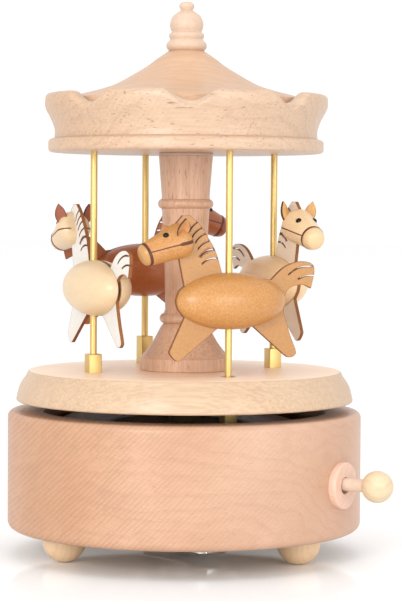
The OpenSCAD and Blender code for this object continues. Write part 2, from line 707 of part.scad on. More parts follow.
module profile_outline() {
    difference() {
        polygon(concat(
            smooth([[18.2, 24.2], [17.9, 18], [17.3, 13.1], [16.3, 8.2], [15.6, 4.8]], 2),
            smooth([[17.3, 3.4], [18.4, 0.2], [17.6, -2.6], [15.5, -5]], 2),
            smooth([[18, -10.1], [20.2, -14.7]], 1),
            smooth([[20.5, -15.8], [19.6, -17.2], [18, -18.4], [16.9, -18.3]], 2),
            [[3.9, -8.4], [-8.1, -7.9]],
            smooth([[-14.7, -13.3], [-19.7, -17.4]], 1),
            smooth([[-21.5, -18.1], [-23.2, -17.4], [-23.5, -15.9]], 2),
            smooth([[-21.4, -10.8], [-19.1, -3.6]], 1),
            smooth([[-19.3, 1], [-20.6, 3.4], [-23, 4.6], [-26.3, 4.8], [-28.8, 3.7]], 2),
            smooth([[-30, 8.4], [-29.6, 11.1], [-26.6, 12.3], [-22.3, 11.8], [-18.5, 10], [-14.7, 6.6]], 2),
            [[-11, 7], [2.2, 7.6]],
            smooth([[2.7, 8.9], [4.9, 15.5], [8.1, 20.8], [10.7, 24.2], [13.7, 26.7]], 3),
            [[16, 26.7]]));
        for (k = [0:len(mane_cuts) - 1]) bowed_slit(mane_cuts[k], 180 - 7.2 * k, 8.5 - 0.4 * k, 6);
        bowed_slit([-20.8, 8.2], 173, 11.5, 10);
        bowed_slit([-24.2, 6.7], 177, 8, 9);
    }
}

module horse_frame(i) {
    rotate(pole_a(i)) translate([pole_circle_r, 0, horse_z(i)]) rotate(-90) children();
}

module pole(i) {
    color([0.86, 0.72, 0.36]) horse_frame(i) union() {
        translate([0, 0, -pole_bottom_drop + 0.4]) cylinder(h = pole_bottom_drop + pole_top_rise - 0.4, r = pole_r);
        translate([0, 0, -pole_bottom_drop]) cylinder(h = 0.4 + eps, r1 = pole_r - 0.4, r2 = pole_r);
    }
}

module guide_block(i) {
    color([0.86, 0.72, 0.36]) horse_frame(i) difference() {
        translate([0, 0, -block_drop[i] - block_l / 2]) cube([block_w, block_w, block_l], center = true);
        translate([0, 0, -block_drop[i] - block_l - 1]) cylinder(h = block_l + 2, r = pole_r + glue_gap);
    }
}

module horse_profile(i) {
    color(horse_colour(i)) horse_frame(i) difference() {
        translate([0, profile_t / 2, 0]) rotate([90, 0, 0]) linear_extrude(profile_t) profile_outline();
        translate([0, 0, -12]) cylinder(h = 24, r = pole_r + glue_gap);
    }
}

module horse_flanks(i) {
    color(horse_colour(i) * 0.95) horse_frame(i) for (side = [-1, 1]) difference() {
        intersection() {
            translate([flank_at[i], side * flank_axis, 0]) rotate([0, 90, 0]) rotate_extrude()
                polygon([for (t = [-90:11.25:90]) [flank_r * max(cos(t), 0), flank_l / 2 * sin(t)]]);
            translate([-flank_l, side > 0 ? profile_t / 2 : -profile_t / 2 - 2 * flank_r, -flank_r])
                cube([2 * flank_l, 2 * flank_r, 2 * flank_r]);
        }
        translate([0, 0, -flank_r - 1]) cylinder(h = 2 * flank_r + 2, r = pole_r + glue_gap);
    }
}

// A turned cone with rounded ends that carries the muzzle
module head_cone() {
    translate([head_at[0], 0, head_at[1]]) rotate([0, 90 + head_tilt, 0]) rotate_extrude()
        polygon(concat([[0, head_l], [0, 0]],
            arc([head_r - 3.2, 3.2], 3.2, -90, 10, 4),
            arc([muzzle_r - 2.6, head_l - 2.6], 2.6, 15, 90, 4)));
}

module horse_head(i) {
    color(horse_colour(i)) horse_frame(i) difference() {
        head_cone();
        translate([0, profile_t / 2, 0]) rotate([90, 0, 0]) linear_extrude(profile_t)
            polygon([[17.9, 5], [18.2, 24.4], [16, 30], [0, 30], [0, 5]]);
    }
}

// Leather ears, pointed at the top and glued to the head at the bottom
module horse_ears(i) {
    ear_h = 6;
    ear_w = 3.7;
    ear_t = 0.8;
    edge = [[-0.2 * ear_w, 0.84 * ear_h], [-0.4 * ear_w, 0.62 * ear_h], [-0.5 * ear_w, 0.36 * ear_h],
        [-0.42 * ear_w, 0.05 * ear_h], [-0.2 * ear_w, -0.08 * ear_h]];
    color([0.50, 0.30, 0.20]) horse_frame(i) difference() {
        for (side = [-1, 1]) translate([ear_at[0], side * ear_at[1], ear_at[2] - ear_h / 2])
            rotate([side * -ear_lean[i], 0, 0]) rotate([0, 0, side * 62]) rotate([90, 0, 0])
                translate([0, 0, -ear_t / 2]) linear_extrude(ear_t)
                    polygon(concat([[0, ear_h]], edge, reversed([for (p = edge) [-p[0], p[1]]])));
        head_cone();
    }
}

function horse_colour(i) =
    [[0.80, 0.55, 0.30], [0.92, 0.78, 0.62], [0.60, 0.30, 0.18], [0.96, 0.88, 0.76]][i % 4];

drum();
base_plate();
feet();
knob_washer();
stop_knob();
stop_dowel();
stop_wire();
bedplate();
movement_screws();
comb();
comb_screws();
cylinder_bracket();
governor_frame();
bearing_bridge();
cam_ring();
cam_posts();
winding_arbor();
winding_key();
spring_barrel();
mainspring();
drive_post();
drive_hub();
hub_screws();
music_cylinder();
cylinder_arbor();
cylinder_gear();
idler_arbor();
governor_fan();
turntable();
column();
column_collar();
canopy_rim();
canopy_roof();
finial();
pole(0);  // pole_1
guide_block(0);  // guide_block_1
horse_profile(0);  // horse_profile_1
horse_flanks(0);  // horse_flanks_1
horse_head(0);  // horse_head_1
horse_ears(0);  // horse_ears_1
pole(1);  // pole_2
guide_block(1);  // guide_block_2
horse_profile(1);  // horse_profile_2
horse_flanks(1);  // horse_flanks_2
horse_head(1);  // horse_head_2
horse_ears(1);  // horse_ears_2
pole(2);  // pole_3
guide_block(2);  // guide_block_3
horse_profile(2);  // horse_profile_3
horse_flanks(2);  // horse_flanks_3
horse_head(2);  // horse_head_3
horse_ears(2);  // horse_ears_3
pole(3);  // pole_4
guide_block(3);  // guide_block_4
horse_profile(3);  // horse_profile_4
horse_flanks(3);  // horse_flanks_4
horse_head(3);  // horse_head_4
horse_ears(3);  // horse_ears_4
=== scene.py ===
import math
import random

import bmesh
import bpy
from mathutils import Matrix, Vector, geometry, kdtree


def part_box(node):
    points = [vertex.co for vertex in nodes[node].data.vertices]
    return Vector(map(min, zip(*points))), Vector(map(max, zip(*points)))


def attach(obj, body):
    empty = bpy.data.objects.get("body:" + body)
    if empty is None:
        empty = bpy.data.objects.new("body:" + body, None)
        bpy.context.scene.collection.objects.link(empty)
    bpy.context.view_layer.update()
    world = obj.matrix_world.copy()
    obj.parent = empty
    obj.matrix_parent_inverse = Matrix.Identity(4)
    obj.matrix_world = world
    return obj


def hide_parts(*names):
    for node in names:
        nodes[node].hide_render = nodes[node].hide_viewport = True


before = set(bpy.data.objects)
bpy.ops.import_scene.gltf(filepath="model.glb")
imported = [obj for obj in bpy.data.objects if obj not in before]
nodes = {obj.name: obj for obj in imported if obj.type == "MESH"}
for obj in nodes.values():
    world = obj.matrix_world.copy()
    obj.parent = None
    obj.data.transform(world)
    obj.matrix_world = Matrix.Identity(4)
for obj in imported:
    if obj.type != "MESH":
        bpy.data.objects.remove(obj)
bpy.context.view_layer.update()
mm = 0.001
print("frame loaded:", len(nodes), "CAD nodes")

viewAngle = -58.0  # where the camera stands round the carousel, in degrees from the stop knob
grainTurn = viewAngle + 90  # the boards' fibres run across the view


# Shapes are worked out in millimetres, and a piece's mesh is scaled to metres when it's made.
def box(name):
    low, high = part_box(name)
    return low / mm, high / mm


def setSharp(bm, degrees):
    for edge in bm.edges:
        edge.smooth = len(edge.link_faces) == 2 and edge.calc_face_angle(0) < math.radians(degrees)
    for face in bm.faces:
        face.smooth = True


def addObject(name, data):
    thing = bpy.data.objects.new(name, data)
    bpy.context.scene.collection.objects.link(thing)
    return thing


def meshObject(name, bm):
    mesh = bpy.data.meshes.new(name)
    bm.to_mesh(mesh)
    bm.free()
    mesh.transform(Matrix.Scale(mm, 4))
    return addObject(name, mesh)


def makePiece(name, bm, body, materials, replaces=(), sharp=35):
    setSharp(bm, sharp)
    piece = meshObject(name, bm)
    for material in materials:
        piece.data.materials.append(material)
    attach(piece, body)
    if replaces:
        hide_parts(*replaces)
    return piece


def arcPoints(cx, cz, r, start, end, steps=6):
    angles = [math.radians(start + (end - start) * k / steps) for k in range(steps + 1)]
    return [(cx + r * math.cos(a), cz + r * math.sin(a)) for a in angles]


def smoothLine(points, steps=8):
    # a smooth line through a few chosen points
    out = []
    last = len(points) - 1
    for i in range(last):
        p, q, r, s = (Vector(points[k]) for k in (max(i - 1, 0), i, i + 1, min(i + 2, last)))
        for k in range(steps):
            t = k / steps
            square, cube = (2 * p - 5 * q + 4 * r - s) * t ** 2, (3 * q - p - 3 * r + s) * t ** 3
            out.append(tuple(0.5 * (2 * q + (r - p) * t + square + cube)))
    return out + [tuple(points[-1])]


def ring(bm, steps, place):
    # a ring of vertices round Z, where place(angle) gives the radius and the height
    out = []
    for k in range(steps):
        a = 2 * math.pi * k / steps
        r, z = place(a)
        out.append(bm.verts.new((r * math.cos(a), r * math.sin(a), z)))
    return out


def bridge(bm, rings, steps, closed=False):
    # faces from each ring to the next; a ring of one vertex is a point on the axis
    for a, b in list(zip(rings, rings[1:])) + ([(rings[-1], rings[0])] if closed else []):
        for k in range(steps):
            corners = [a[k % len(a)], b[k % len(b)], b[(k + 1) % len(b)], a[(k + 1) % len(a)]]
            corners = [v for n, v in enumerate(corners) if v not in corners[:n]]
            if len(corners) > 2:
                bm.faces.new(corners)
    bmesh.ops.recalc_face_normals(bm, faces=bm.faces)
    return bm


def revolve(profile, segments=128, closed=False):
    # a shape turned round Z from points of (radius, height)
    bm = bmesh.new()
    rings = [ring(bm, 1 if point[0] < 1e-4 else segments, lambda a: point) for point in profile]
    return bridge(bm, rings, segments, closed)


alongX = Matrix.Rotation(math.pi / 2, 4, "Y")  # what was turned round Z then lies along X


def moved(bm, matrix):
    bmesh.ops.transform(bm, matrix=matrix, verts=bm.verts)
    return bm


def facing(place, direction, axis="-Z"):
    # at a place, with one axis along a direction
    return Matrix.Translation(place) @ direction.to_track_quat(axis, "Y").to_matrix().to_4x4()


def merged(parts):
    # several shapes as one
    bm = bmesh.new()
    for part in parts:
        mesh = bpy.data.meshes.new("part")
        part.to_mesh(mesh)
        part.free()
        bm.from_mesh(mesh)
        bpy.data.meshes.remove(mesh)
    return bm


def roundedBox(low, high, bevel):
    bm = bmesh.new()
    low, high = Vector(low), Vector(high)
    made = bmesh.ops.create_cube(bm, size=1)["verts"]
    size, middle = high - low, (high + low) / 2
    for v in made:
        v.co = Vector(v.co[k] * size[k] + middle[k] for k in range(3))
    edges = list({e for v in made for e in v.link_edges})
    bmesh.ops.bevel(bm, geom=edges, offset=bevel, segments=3, profile=0.5, affect="EDGES")
    return bm


def cutWith(piece, bm, sharp=35):
    # takes a closed shape away from a piece
    bmesh.ops.recalc_face_normals(bm, faces=bm.faces)
    cutter = meshObject("cutter", bm)
    step = piece.modifiers.new("cut", "BOOLEAN")
    step.object, step.operation, step.solver = cutter, "DIFFERENCE", "EXACT"
    bpy.context.view_layer.update()
    cut = bpy.data.meshes.new_from_object(piece.evaluated_get(bpy.context.evaluated_depsgraph_get()))
    piece.modifiers.remove(step)
    piece.data = cut
    bpy.data.objects.remove(cutter)
    bm = bmesh.new()
    bm.from_mesh(cut)
    setSharp(bm, sharp)
    bm.to_mesh(cut)
    bm.free()


def tint(r, g, b):
    # a colour as it looks, 0 to 255, as light
    return tuple(c / 255 / 12.92 if c < 10.3 else ((c / 255 + 0.055) / 1.055) ** 2.4 for c in (r, g, b))


def shade(colour, k):
    return tuple(c * k for c in colour)


class Nodes:
    # a short way to write a shader's node tree, with coordinates in millimetres
    def __init__(self, name):
        self.material = bpy.data.materials.new(name)
        self.material.use_nodes = True
        self.tree = self.material.node_tree
        self.shader = self.tree.nodes["Principled BSDF"]
        scale = self.add("ShaderNodeVectorMath", operation="SCALE")
        scale.inputs["Scale"].default_value = 1 / mm
        self.link(self.add("ShaderNodeTexCoord").outputs["Object"], scale.inputs[0])
        self.place = scale.outputs[0]
        self.bump = None

    def add(self, kind, **settings):
        node = self.tree.nodes.new(kind)
        for key, value in settings.items():
            setattr(node, key, value)
        return node

    def link(self, a, b):
        self.tree.links.new(a, b)

    def put(self, socket, value):
        if hasattr(value, "is_output"):
            self.link(value, socket)
        else:
            socket.default_value = (*value, 1) if isinstance(value, tuple) and len(value) == 3 else value

    def math(self, operation, a, b=0.0, c=0.0, clamp=False):
        node = self.add("ShaderNodeMath", operation=operation, use_clamp=clamp)
        for socket, value in zip(node.inputs, (a, b, c)):
            self.put(socket, value)
        return node.outputs[0]

    def separated(self, vector, axis):
        node = self.add("ShaderNodeSeparateXYZ")
        self.link(vector, node.inputs[0])
        return node.outputs[axis]

    def burn(self):
        # how dark the wood is made near its edges, as painted on the vertices: scorch on the plate and the
        # ears, and a dark line round the flanks where they meet the plate
        return self.add("ShaderNodeAttribute", attribute_name="char").outputs["Fac"]

    def mapped(self, source, rotation=(0, 0, 0), scale=(1, 1, 1), location=(0, 0, 0)):
        node = self.add("ShaderNodeMapping")
        self.link(source, node.inputs["Vector"])
        node.inputs["Rotation"].default_value = [math.radians(a) for a in rotation]
        node.inputs["Scale"].default_value = scale
        node.inputs["Location"].default_value = location
        return node.outputs[0]

    def along(self, azimuth, tilt, location=(0, 0, 0)):
        # coordinates whose X runs along a direction
        turned = self.mapped(self.place, rotation=(0, 0, -azimuth))
        return self.mapped(turned, rotation=(0, tilt, 0), location=location)

    def noise(self, vector, scale, detail=2.0, roughness=0.5):
        node = self.add("ShaderNodeTexNoise")
        self.link(vector, node.inputs["Vector"])
        for key, value in (("Scale", scale), ("Detail", detail), ("Roughness", roughness)):
            node.inputs[key].default_value = value
        return node.outputs["Fac"]

    def ramp(self, factor, *stops):
        # stops are (place, value); eased between
        node = self.add("ShaderNodeValToRGB")
        self.link(factor, node.inputs["Fac"])
        node.color_ramp.interpolation = "EASE"
        while len(node.color_ramp.elements) < len(stops):
            node.color_ramp.elements.new(0.5)
        for element, (place, value) in zip(node.color_ramp.elements, stops):
            element.position = place
            element.color = (value, value, value, 1)
        return node.outputs["Color"]

    def mix(self, factor, a, b, blend="MIX"):
        node = self.add("ShaderNodeMix", data_type="RGBA", blend_type=blend)
        self.put(node.inputs["Factor"], factor)
        self.put(node.inputs["A"], a)
        self.put(node.inputs["B"], b)
        return node.outputs["Result"]

    def addBump(self, height, distance, strength=1.0):
        node = self.add("ShaderNodeBump")
        self.link(height, node.inputs["Height"])
        node.inputs["Distance"].default_value = distance * mm
        node.inputs["Strength"].default_value = strength
        if self.bump:
            self.link(self.bump, node.inputs["Normal"])
        self.bump = node.outputs["Normal"]
        self.link(self.bump, self.shader.inputs["Normal"])

    def finish(self, colour, roughness, **fixed):
        self.put(self.shader.inputs["Base Color"], colour)
        self.put(self.shader.inputs["Roughness"], roughness)
        for key, value in fixed.items():
            self.shader.inputs[key.replace("_", " ")].default_value = value
        return self.material


# What a piece of wood can be given: the fibres' direction, growth rings (spacing, depth and where the tree's
# heart lies), pores (how many, how big), fibre streaks, slow colour change, gloss, saw marks as (direction,
# depth, pitch), the colour of scorched edges, stain speckle, how light the whole is, and painted shade that
# darkens and warms the left of the view.
woodLook = {
    "azimuth": grainTurn, "tilt": 0.0, "rings": 2.6, "ringDepth": 0.15, "heart": (0, 90, -70),
    "pores": 0.35, "poreSize": (0.32, 2.3, 1.9), "fibre": 0.10, "patch": 0.5, "rough": 0.42, "coat": 0.12,
    "hatch": (), "seed": 0.0, "char": None, "mottle": 0.0, "level": 0.74, "warmSide": 0.0,
}


def sawMarks(n, azimuth, direction, pitch):
    # worn lines across the fibres, stronger on the left of the view
    place = n.along(azimuth, direction)
    lines = n.add("ShaderNodeTexWave", bands_direction="Z")
    n.link(n.mapped(place, scale=(1, 0.1, 1)), lines.inputs["Vector"])
    for key, value in (("Scale", 0.314 / pitch), ("Distortion", 2.2), ("Detail", 3.0), ("Detail Scale",
                                                                                        0.5)):
        lines.inputs[key].default_value = value
    worn = n.noise(n.mapped(place, scale=(0.3, 0.3, 1)), 0.35, 4, 0.7)
    marks = n.math("MULTIPLY_ADD", worn, 1.7, n.math("MULTIPLY_ADD", lines.outputs["Fac"], 0.5, -0.62))
    fade = n.math("MULTIPLY_ADD", n.separated(n.along(azimuth, 0), "X"), -0.014, 0.68, clamp=True)
    return n.ramp(marks, (0.28, 1.0), (0.5, 0.0)), fade


def wood(name, light, dark, **changes):
    look = {**woodLook, **changes}
    n = Nodes(name)
    azimuth, seed = look["azimuth"], look["seed"]
    grained = n.along(azimuth, look["tilt"], (seed, seed * 0.7, seed * 1.3))
    light, dark = shade(light, look["level"]), shade(dark, look["level"])
    deep = shade(dark, 0.6)
    bend = n.noise(n.mapped(grained, scale=(0.3, 1, 1)), 0.04, 3, 0.5)
    heart = n.add("ShaderNodeVectorMath", operation="LENGTH")
    n.link(n.mapped(grained, scale=(0.05, 1, 1), location=look["heart"]), heart.inputs[0])
    turns = n.math("MULTIPLY_ADD", heart.outputs["Value"], 1 / look["rings"], n.math("MULTIPLY", bend, 8.0))
    year = n.ramp(n.math("FRACT", turns), (0.0, 0.8), (0.1, 0.1), (0.6, 0.25), (0.92, 1.0), (1.0, 0.8))
    fibres = n.noise(n.mapped(grained, scale=(0.05, 1.4, 1.4)), 1.0, 5, 0.65)
    streaks = n.ramp(fibres, (0.38, 1.0), (0.6, 0.0))
    pores = n.ramp(n.noise(n.mapped(grained, scale=look["poreSize"]), 1.0, 1.5, 0.5), (0.62, 0.0), (0.74,
                                                                                                    1.0))
    clouds = n.noise(grained, 0.035, 3, 0.5)
    patch = n.math("MULTIPLY_ADD", clouds, look["patch"] * 2.4, 0.5 - look["patch"] * 1.2, clamp=True)
    tone = n.mix(patch, light, dark)
    tone = n.mix(n.math("MULTIPLY", year, look["ringDepth"]), tone, deep)
    tone = n.mix(n.math("MULTIPLY", streaks, look["fibre"]), tone, deep)
    for direction, depth, pitch in look["hatch"]:
        marks, fade = sawMarks(n, azimuth, direction, pitch)
        tone = n.mix(n.math("MULTIPLY", marks, n.math("MULTIPLY", fade, depth)), tone, deep)
    tone = n.mix(n.math("MULTIPLY", pores, look["pores"]), tone, shade(dark, 0.45))
    # painted shade: the wood is darkened and warmed towards the left of the view
    if look["warmSide"]:
        side = n.math("MULTIPLY_ADD", n.separated(n.along(azimuth, 0), "X"), -0.012, 0.3, clamp=True)
        tone = n.mix(n.math("MULTIPLY", side, look["warmSide"]), tone, (0.94, 0.80, 0.62), "MULTIPLY")
    if look["mottle"]:
        speckle = n.ramp(n.noise(n.place, 1.6, 4, 0.7), (0.40, 1.0), (0.62, 0.0))
        tone = n.mix(n.math("MULTIPLY", speckle, look["mottle"]), tone, shade(dark, 0.7))
    if look["char"]:
        soft = n.math("ADD", n.burn(), n.math("MULTIPLY_ADD", n.noise(n.place, 1.3, 3), 0.5, -0.25))
        tone = n.mix(n.math("MULTIPLY", n.ramp(soft, (0.35, 0.0), (0.95, 1.0)), 0.92), tone, look["char"])
    n.addBump(n.math("MULTIPLY_ADD", fibres, 0.5, n.math("MULTIPLY", pores, -0.6)), 0.05, 0.5)
    rough = n.math("MULTIPLY_ADD", fibres, 0.16, look["rough"] - 0.08)
    return n.finish(tone, rough, Coat_Weight=look["coat"], Coat_Roughness=0.25)


def burnt(name, tone, rough=0.6):
    n = Nodes(name)
    colour = n.mix(n.noise(n.place, 1.1, 4, 0.6), shade(tone, 0.5), shade(tone, 1.6))
    n.addBump(n.noise(n.mapped(n.place, scale=(3, 3, 0.8)), 1.0, 3), 0.04, 0.5)
    return n.finish(colour, rough, Specular_IOR_Level=0.15)


def leather(name, light, dark):
    n = Nodes(name)
    tone = n.mix(n.noise(n.place, 0.9, 4, 0.6), dark, light)
    tone = n.mix(n.ramp(n.burn(), (0.45, 0.0), (0.95, 1.0)), tone, shade(dark, 0.12))
    pebble = n.add("ShaderNodeTexVoronoi", feature="F1")
    n.link(n.place, pebble.inputs["Vector"])
    pebble.inputs["Scale"].default_value = 3.0
    n.addBump(pebble.outputs["Distance"], 0.03, 0.5)
    return n.finish(tone, 0.5)


def metal(name, light, dark, rough=0.28, along=(1, 1, 0.05), scratch=0.35):
    n = Nodes(name)
    cloud = n.noise(n.place, 0.15, 3, 0.5)
    n.addBump(n.noise(n.mapped(n.place, scale=along), 3.0, 4, 0.6), 0.01, scratch)
    return n.finish(n.mix(cloud, dark, light), n.math("MULTIPLY_ADD", cloud, 0.18, rough - 0.09),
                    Metallic=1.0)


def plain(name, tone, rough, grain, depth, **fixed):
    n = Nodes(name)
    cloud = n.noise(n.place, grain, 4, 0.6)
    n.addBump(n.noise(n.place, grain * 6, 3), depth, 0.4)
    return n.finish(n.mix(cloud, shade(tone, 0.8), shade(tone, 1.15)), rough, **fixed)


finishes = {
    # the drum carries painted shade towards the left of the view
    "drum": wood("drumBeech", tint(243, 200, 171), tint(224, 172, 138), rings=4.5, ringDepth=0.12,
                 heart=(0, 120, 96), pores=0.22, poreSize=(0.5, 1.8, 1.8), patch=0.5,
                 hatch=((46, 0.26, 1.25), (-24, 0.12, 0.9)), level=0.68, warmSide=0.8, seed=2.0),
    "table": wood("tableBeech", tint(252, 222, 188), tint(238, 194, 154), rings=3.6, ringDepth=0.09,
                  heart=(0, 160, 30), pores=0.2, poreSize=(0.12, 1.6, 1.9), fibre=0.3, patch=0.55,
                  seed=11.0, level=0.64),
    # painted light: the turntable's top is a much lighter copy of its side's beech, making up for the shade
    # on it
    "tableTopPaintedLight": wood("tableTopPaintedLightBeech", tint(254, 228, 200), tint(244, 206, 174), rings=3.6, ringDepth=0.14,
                     heart=(0, 160, 30), pores=0.15, fibre=0.14, patch=0.5, seed=11.0, level=0.98),
    "column": wood("columnBeech", tint(236, 194, 164), tint(218, 168, 134), tilt=90, rings=2.8,
                   ringDepth=0.14, heart=(0, 40, 30), pores=0.85, poreSize=(0.26, 2.4, 2.4), fibre=0.30,
                   patch=0.4, seed=5.0, level=0.80),
    # the canopy carries painted shade towards the left of the view too
    "canopy": wood("canopyBeech", tint(250, 219, 189), tint(237, 196, 163), rings=3.4, ringDepth=0.2,
                   heart=(0, 70, -60), pores=0.8, poreSize=(0.23, 2.1, 1.9), fibre=0.2, patch=0.55,
                   hatch=((56, 0.10, 1.5),), seed=21.0, level=0.66, warmSide=0.35),
    "roof": wood("roofBeech", tint(246, 203, 166), tint(228, 177, 138), rings=3.4, ringDepth=0.16,
                 heart=(0, 50, -60), pores=0.3, patch=0.5, seed=33.0, level=0.69),
    "finial": wood("finialBeech", tint(249, 221, 196), tint(238, 200, 170), tilt=90, rings=3.0,
                   ringDepth=0.08, pores=0.2, patch=0.5, seed=40.0, level=0.69),
    "collar": wood("collarBeech", tint(236, 204, 184), tint(222, 180, 158), pores=0.3, seed=44.0),
    "foot": wood("footMaple", tint(242, 210, 172), tint(226, 188, 148), level=0.95, tilt=90, rings=2.4,
                 ringDepth=0.16, heart=(0, 12, 5), pores=0.1, patch=0.5, rough=0.36, coat=0.25, seed=3.0),
    "knob": wood("knobMaple", tint(254, 233, 198), tint(240, 208, 160), rings=2.0, ringDepth=0.2,
                 heart=(0, 9, 14), pores=0.1, patch=0.5, rough=0.42, coat=0.1, seed=6.0),
    "washer": wood("washerBeech", tint(250, 212, 190), tint(236, 190, 164), pores=0.2, seed=8.0,
                   level=0.84),
    "dowel": wood("dowelBirch", tint(246, 220, 198), tint(232, 200, 176), pores=0.15, seed=9.0, level=0.8),
    "ply": wood("basePly", tint(220, 186, 146), tint(196, 156, 114), rings=1.0, ringDepth=0.2, rough=0.6,
                coat=0.0),
    "brass": metal("satinBrass", (0.75, 0.55, 0.23), (0.64, 0.45, 0.17), rough=0.45),
    # painted shade: brass made very dark to stand for the dim gap under the turntable
    "paintedShadeBrass": metal("paintedShadeBrass", (0.17, 0.125, 0.06), (0.10, 0.07, 0.035), rough=0.5),
    "steel": metal("brushedSteel", (0.86, 0.85, 0.84), (0.7, 0.7, 0.7), rough=0.22, along=(0.3, 3, 3)),
    "zinc": metal("castZinc", (0.58, 0.56, 0.52), (0.44, 0.43, 0.40), rough=0.45, along=(1, 1, 1)),
    "springSteel": metal("bluedSteel", (0.25, 0.28, 0.36), (0.16, 0.18, 0.25)),
    "card": plain("greyFibreSheet", (0.82, 0.82, 0.84), 0.35, 0.3, 0.02),
    "strap": plain("burntStrap", (0.115, 0.036, 0.017), 0.4, 1.5, 0.02, Specular_IOR_Level=0.3),
    "eye": plain("blackBead", (0.006, 0.005, 0.005), 0.12, 1.5, 0.002, Specular_IOR_Level=0.25),
    "burnt": burnt("burntEdge", (0.24, 0.095, 0.035), 0.75),
}
print("materials made:", len(finishes))


def restyle(name, finish):
    piece = nodes[name]
    piece.data.materials.clear()
    piece.data.materials.append(finishes[finish])
    for polygon in piece.data.polygons:
        polygon.use_smooth = True
    piece.data.update()


# the inner pieces keep their own shapes
innerFinishes = {
    "ply": ("base_plate", "cam_posts"),
    "steel": ("stop_wire", "movement_screws", "comb", "comb_screws", "hub_screws", "winding_arbor",
              "governor_fan"),
    "zinc": ("bedplate", "cylinder_bracket", "governor_frame", "bearing_bridge"),
    "springSteel": ("mainspring",),
    # the drive post and hub take the darkened brass, as painted shade
    "paintedShadeBrass": ("drive_post", "drive_hub"),
    "brass": ("spring_barrel", "music_cylinder", "cylinder_arbor", "cylinder_gear", "idler_arbor"),
    "card": ("cam_ring",),
}
for finish, names in innerFinishes.items():
    for nodeName in names:
        restyle(nodeName, finish)


drumLook = {"topRound": 1.9, "bottomRound": 2.5, "mouth": 46.0, "lip": 3.5, "mouthRound": 0.8, "holeGap": 0.3}


def makeDrum():
    low, high = box("drum")
    rebate, floor = box("base_plate")[1].xz
    outer, bottom, top = high.x, low.z, high.z
    bore = outer - 2 * (outer - rebate)
    a, b, c = drumLook["topRound"], drumLook["bottomRound"], drumLook["mouthRound"]
    mouth, lip = drumLook["mouth"], top - drumLook["lip"]
    profile = [(mouth, lip), (bore, lip), (bore, floor), (rebate, floor), (rebate, bottom)]
    profile += arcPoints(outer - b, bottom + b, b, -90, 0, 10)
    profile += [(outer, bottom + b + (top - bottom - a - b) * k / 8) for k in range(1, 8)]
    profile += arcPoints(outer - a, top - a, a, 0, 90, 10)
    profile += arcPoints(mouth + c, top - c, c, 90, 180, 5)
    shell = revolve(profile, 256, closed=True)
    piece = makePiece("drumShell", shell, "base", [finishes["drum"]], ["drum"])
    low, high = box("stop_dowel")
    r, deep = (high.z - low.z) / 2, outer - bore + 6  # the hole runs 3 mm past the wall on both sides
    hole = revolve([(0, 0), (r + drumLook["holeGap"], 0), (r + drumLook["holeGap"], deep), (0, deep)], 48)
    cutWith(piece, moved(hole, Matrix.Translation((bore - 3, 0, low.z + r)) @ alongX))


footLook = {"radius": 7.0, "flat": 1.8, "turns": (0, 120, 240)}


def makeFeet():
    high = box("feet")[1]
    r, flat = footLook["radius"], footLook["flat"]
    middle = math.sqrt(r * r - flat * flat)
    last = math.degrees(math.asin((high.z - middle) / r))
    profile = [(0, 0), (flat * 0.8, 0.0)] + arcPoints(0, middle, r, -75, last, 24) + [(0, high.z)]
    feet = []
    for turn in footLook["turns"]:
        place = Matrix.Rotation(math.radians(turn), 4, "Z") @ Matrix.Translation((high.x - r, 0, 0))
        feet.append(moved(revolve(profile, 48), place @ Matrix.Rotation(math.radians(turn * 0.7), 4, "Z")))
    makePiece("ballFeet", merged(feet), "base", [finishes["foot"]], ["feet"])


knobLook = {"turn": 0.5, "dowelRound": 0.4}
washerLook = {"hole": 2.7, "holeDrop": 0.15, "round": 0.55, "steps": 72}


def makeKnob():
    low, high = box("stop_knob")
    r = (high.z - low.z) / 2
    place = Matrix.Translation(high - Vector((r, r, r))) @ Matrix.Rotation(knobLook["turn"], 4, "X") @ alongX
    ball = moved(revolve(arcPoints(0, 0, r, -90, 90, 32), 64), place)
    makePiece("knobBall", ball, "stop_control", [finishes["knob"]], ["stop_knob"])
    low, high = box("stop_dowel")
    r, long, edge = (high.z - low.z) / 2, high.x - low.x, knobLook["dowelRound"]
    profile = [(0, 0)] + arcPoints(r - edge, edge, edge, -90, 0, 4) + [(r, long), (0, long)]
    dowel = moved(revolve(profile, 40), Matrix.Translation((low.x, 0, low.z + r)) @ alongX)
    makePiece("knobDowel", dowel, "stop_control", [finishes["dowel"]], ["stop_dowel"])


def makeWasher():
    # its back follows the drum, and its hole is a little below the middle
    low, high = box("knob_washer")
    middle, r = (low + high) / 2, (high.z - low.z) / 2
    drumR = box("drum")[1].x
    rounding, steps = washerLook["round"], washerLook["steps"]
    edge = high.x - rounding

    def back(flat):
        return math.sqrt(drumR ** 2 - (middle.y + flat.x) ** 2)

    bm = bmesh.new()
    sections = []
    for k in range(steps):
        a = 2 * math.pi * k / steps
        out = Vector((math.cos(a), math.sin(a)))
        hole = out * washerLook["hole"] + Vector((-middle.y, washerLook["holeDrop"]))
        side = out * r
        section = [(hole, back(hole)), (side, back(side)), (side, back(side) * 0.7 + edge * 0.3)]
        section += [(out * away, x) for away, x in arcPoints(r - rounding, edge, rounding, 0, 90, 3)]
        section += [(hole.lerp(out * (r - rounding), 0.5), high.x), (hole, high.x)]
        sections.append([bm.verts.new((x, middle.y + flat.x, middle.z + flat.y)) for flat, x in section])
    bridge(bm, list(zip(*sections)), steps, closed=True)
    makePiece("knobWasher", bm, "base", [finishes["washer"]], ["knob_washer"])


keyLook = {
    "turn": -27.5, "thick": 1.2, "wing": [(2.5, 4.0), (8, 4.3), (13, 6.2), (17.5, 5.9), (19.85, 3.4)],
    "edge": 0.3, "tabFrom": 18.8, "tabTo": 20.0, "tabHalf": 3.1, "tabHigh": 2.4, "tabEdge": 0.35,
    "bore": 2.52, "hub": 4.1, "hubHigh": 5.2,
}


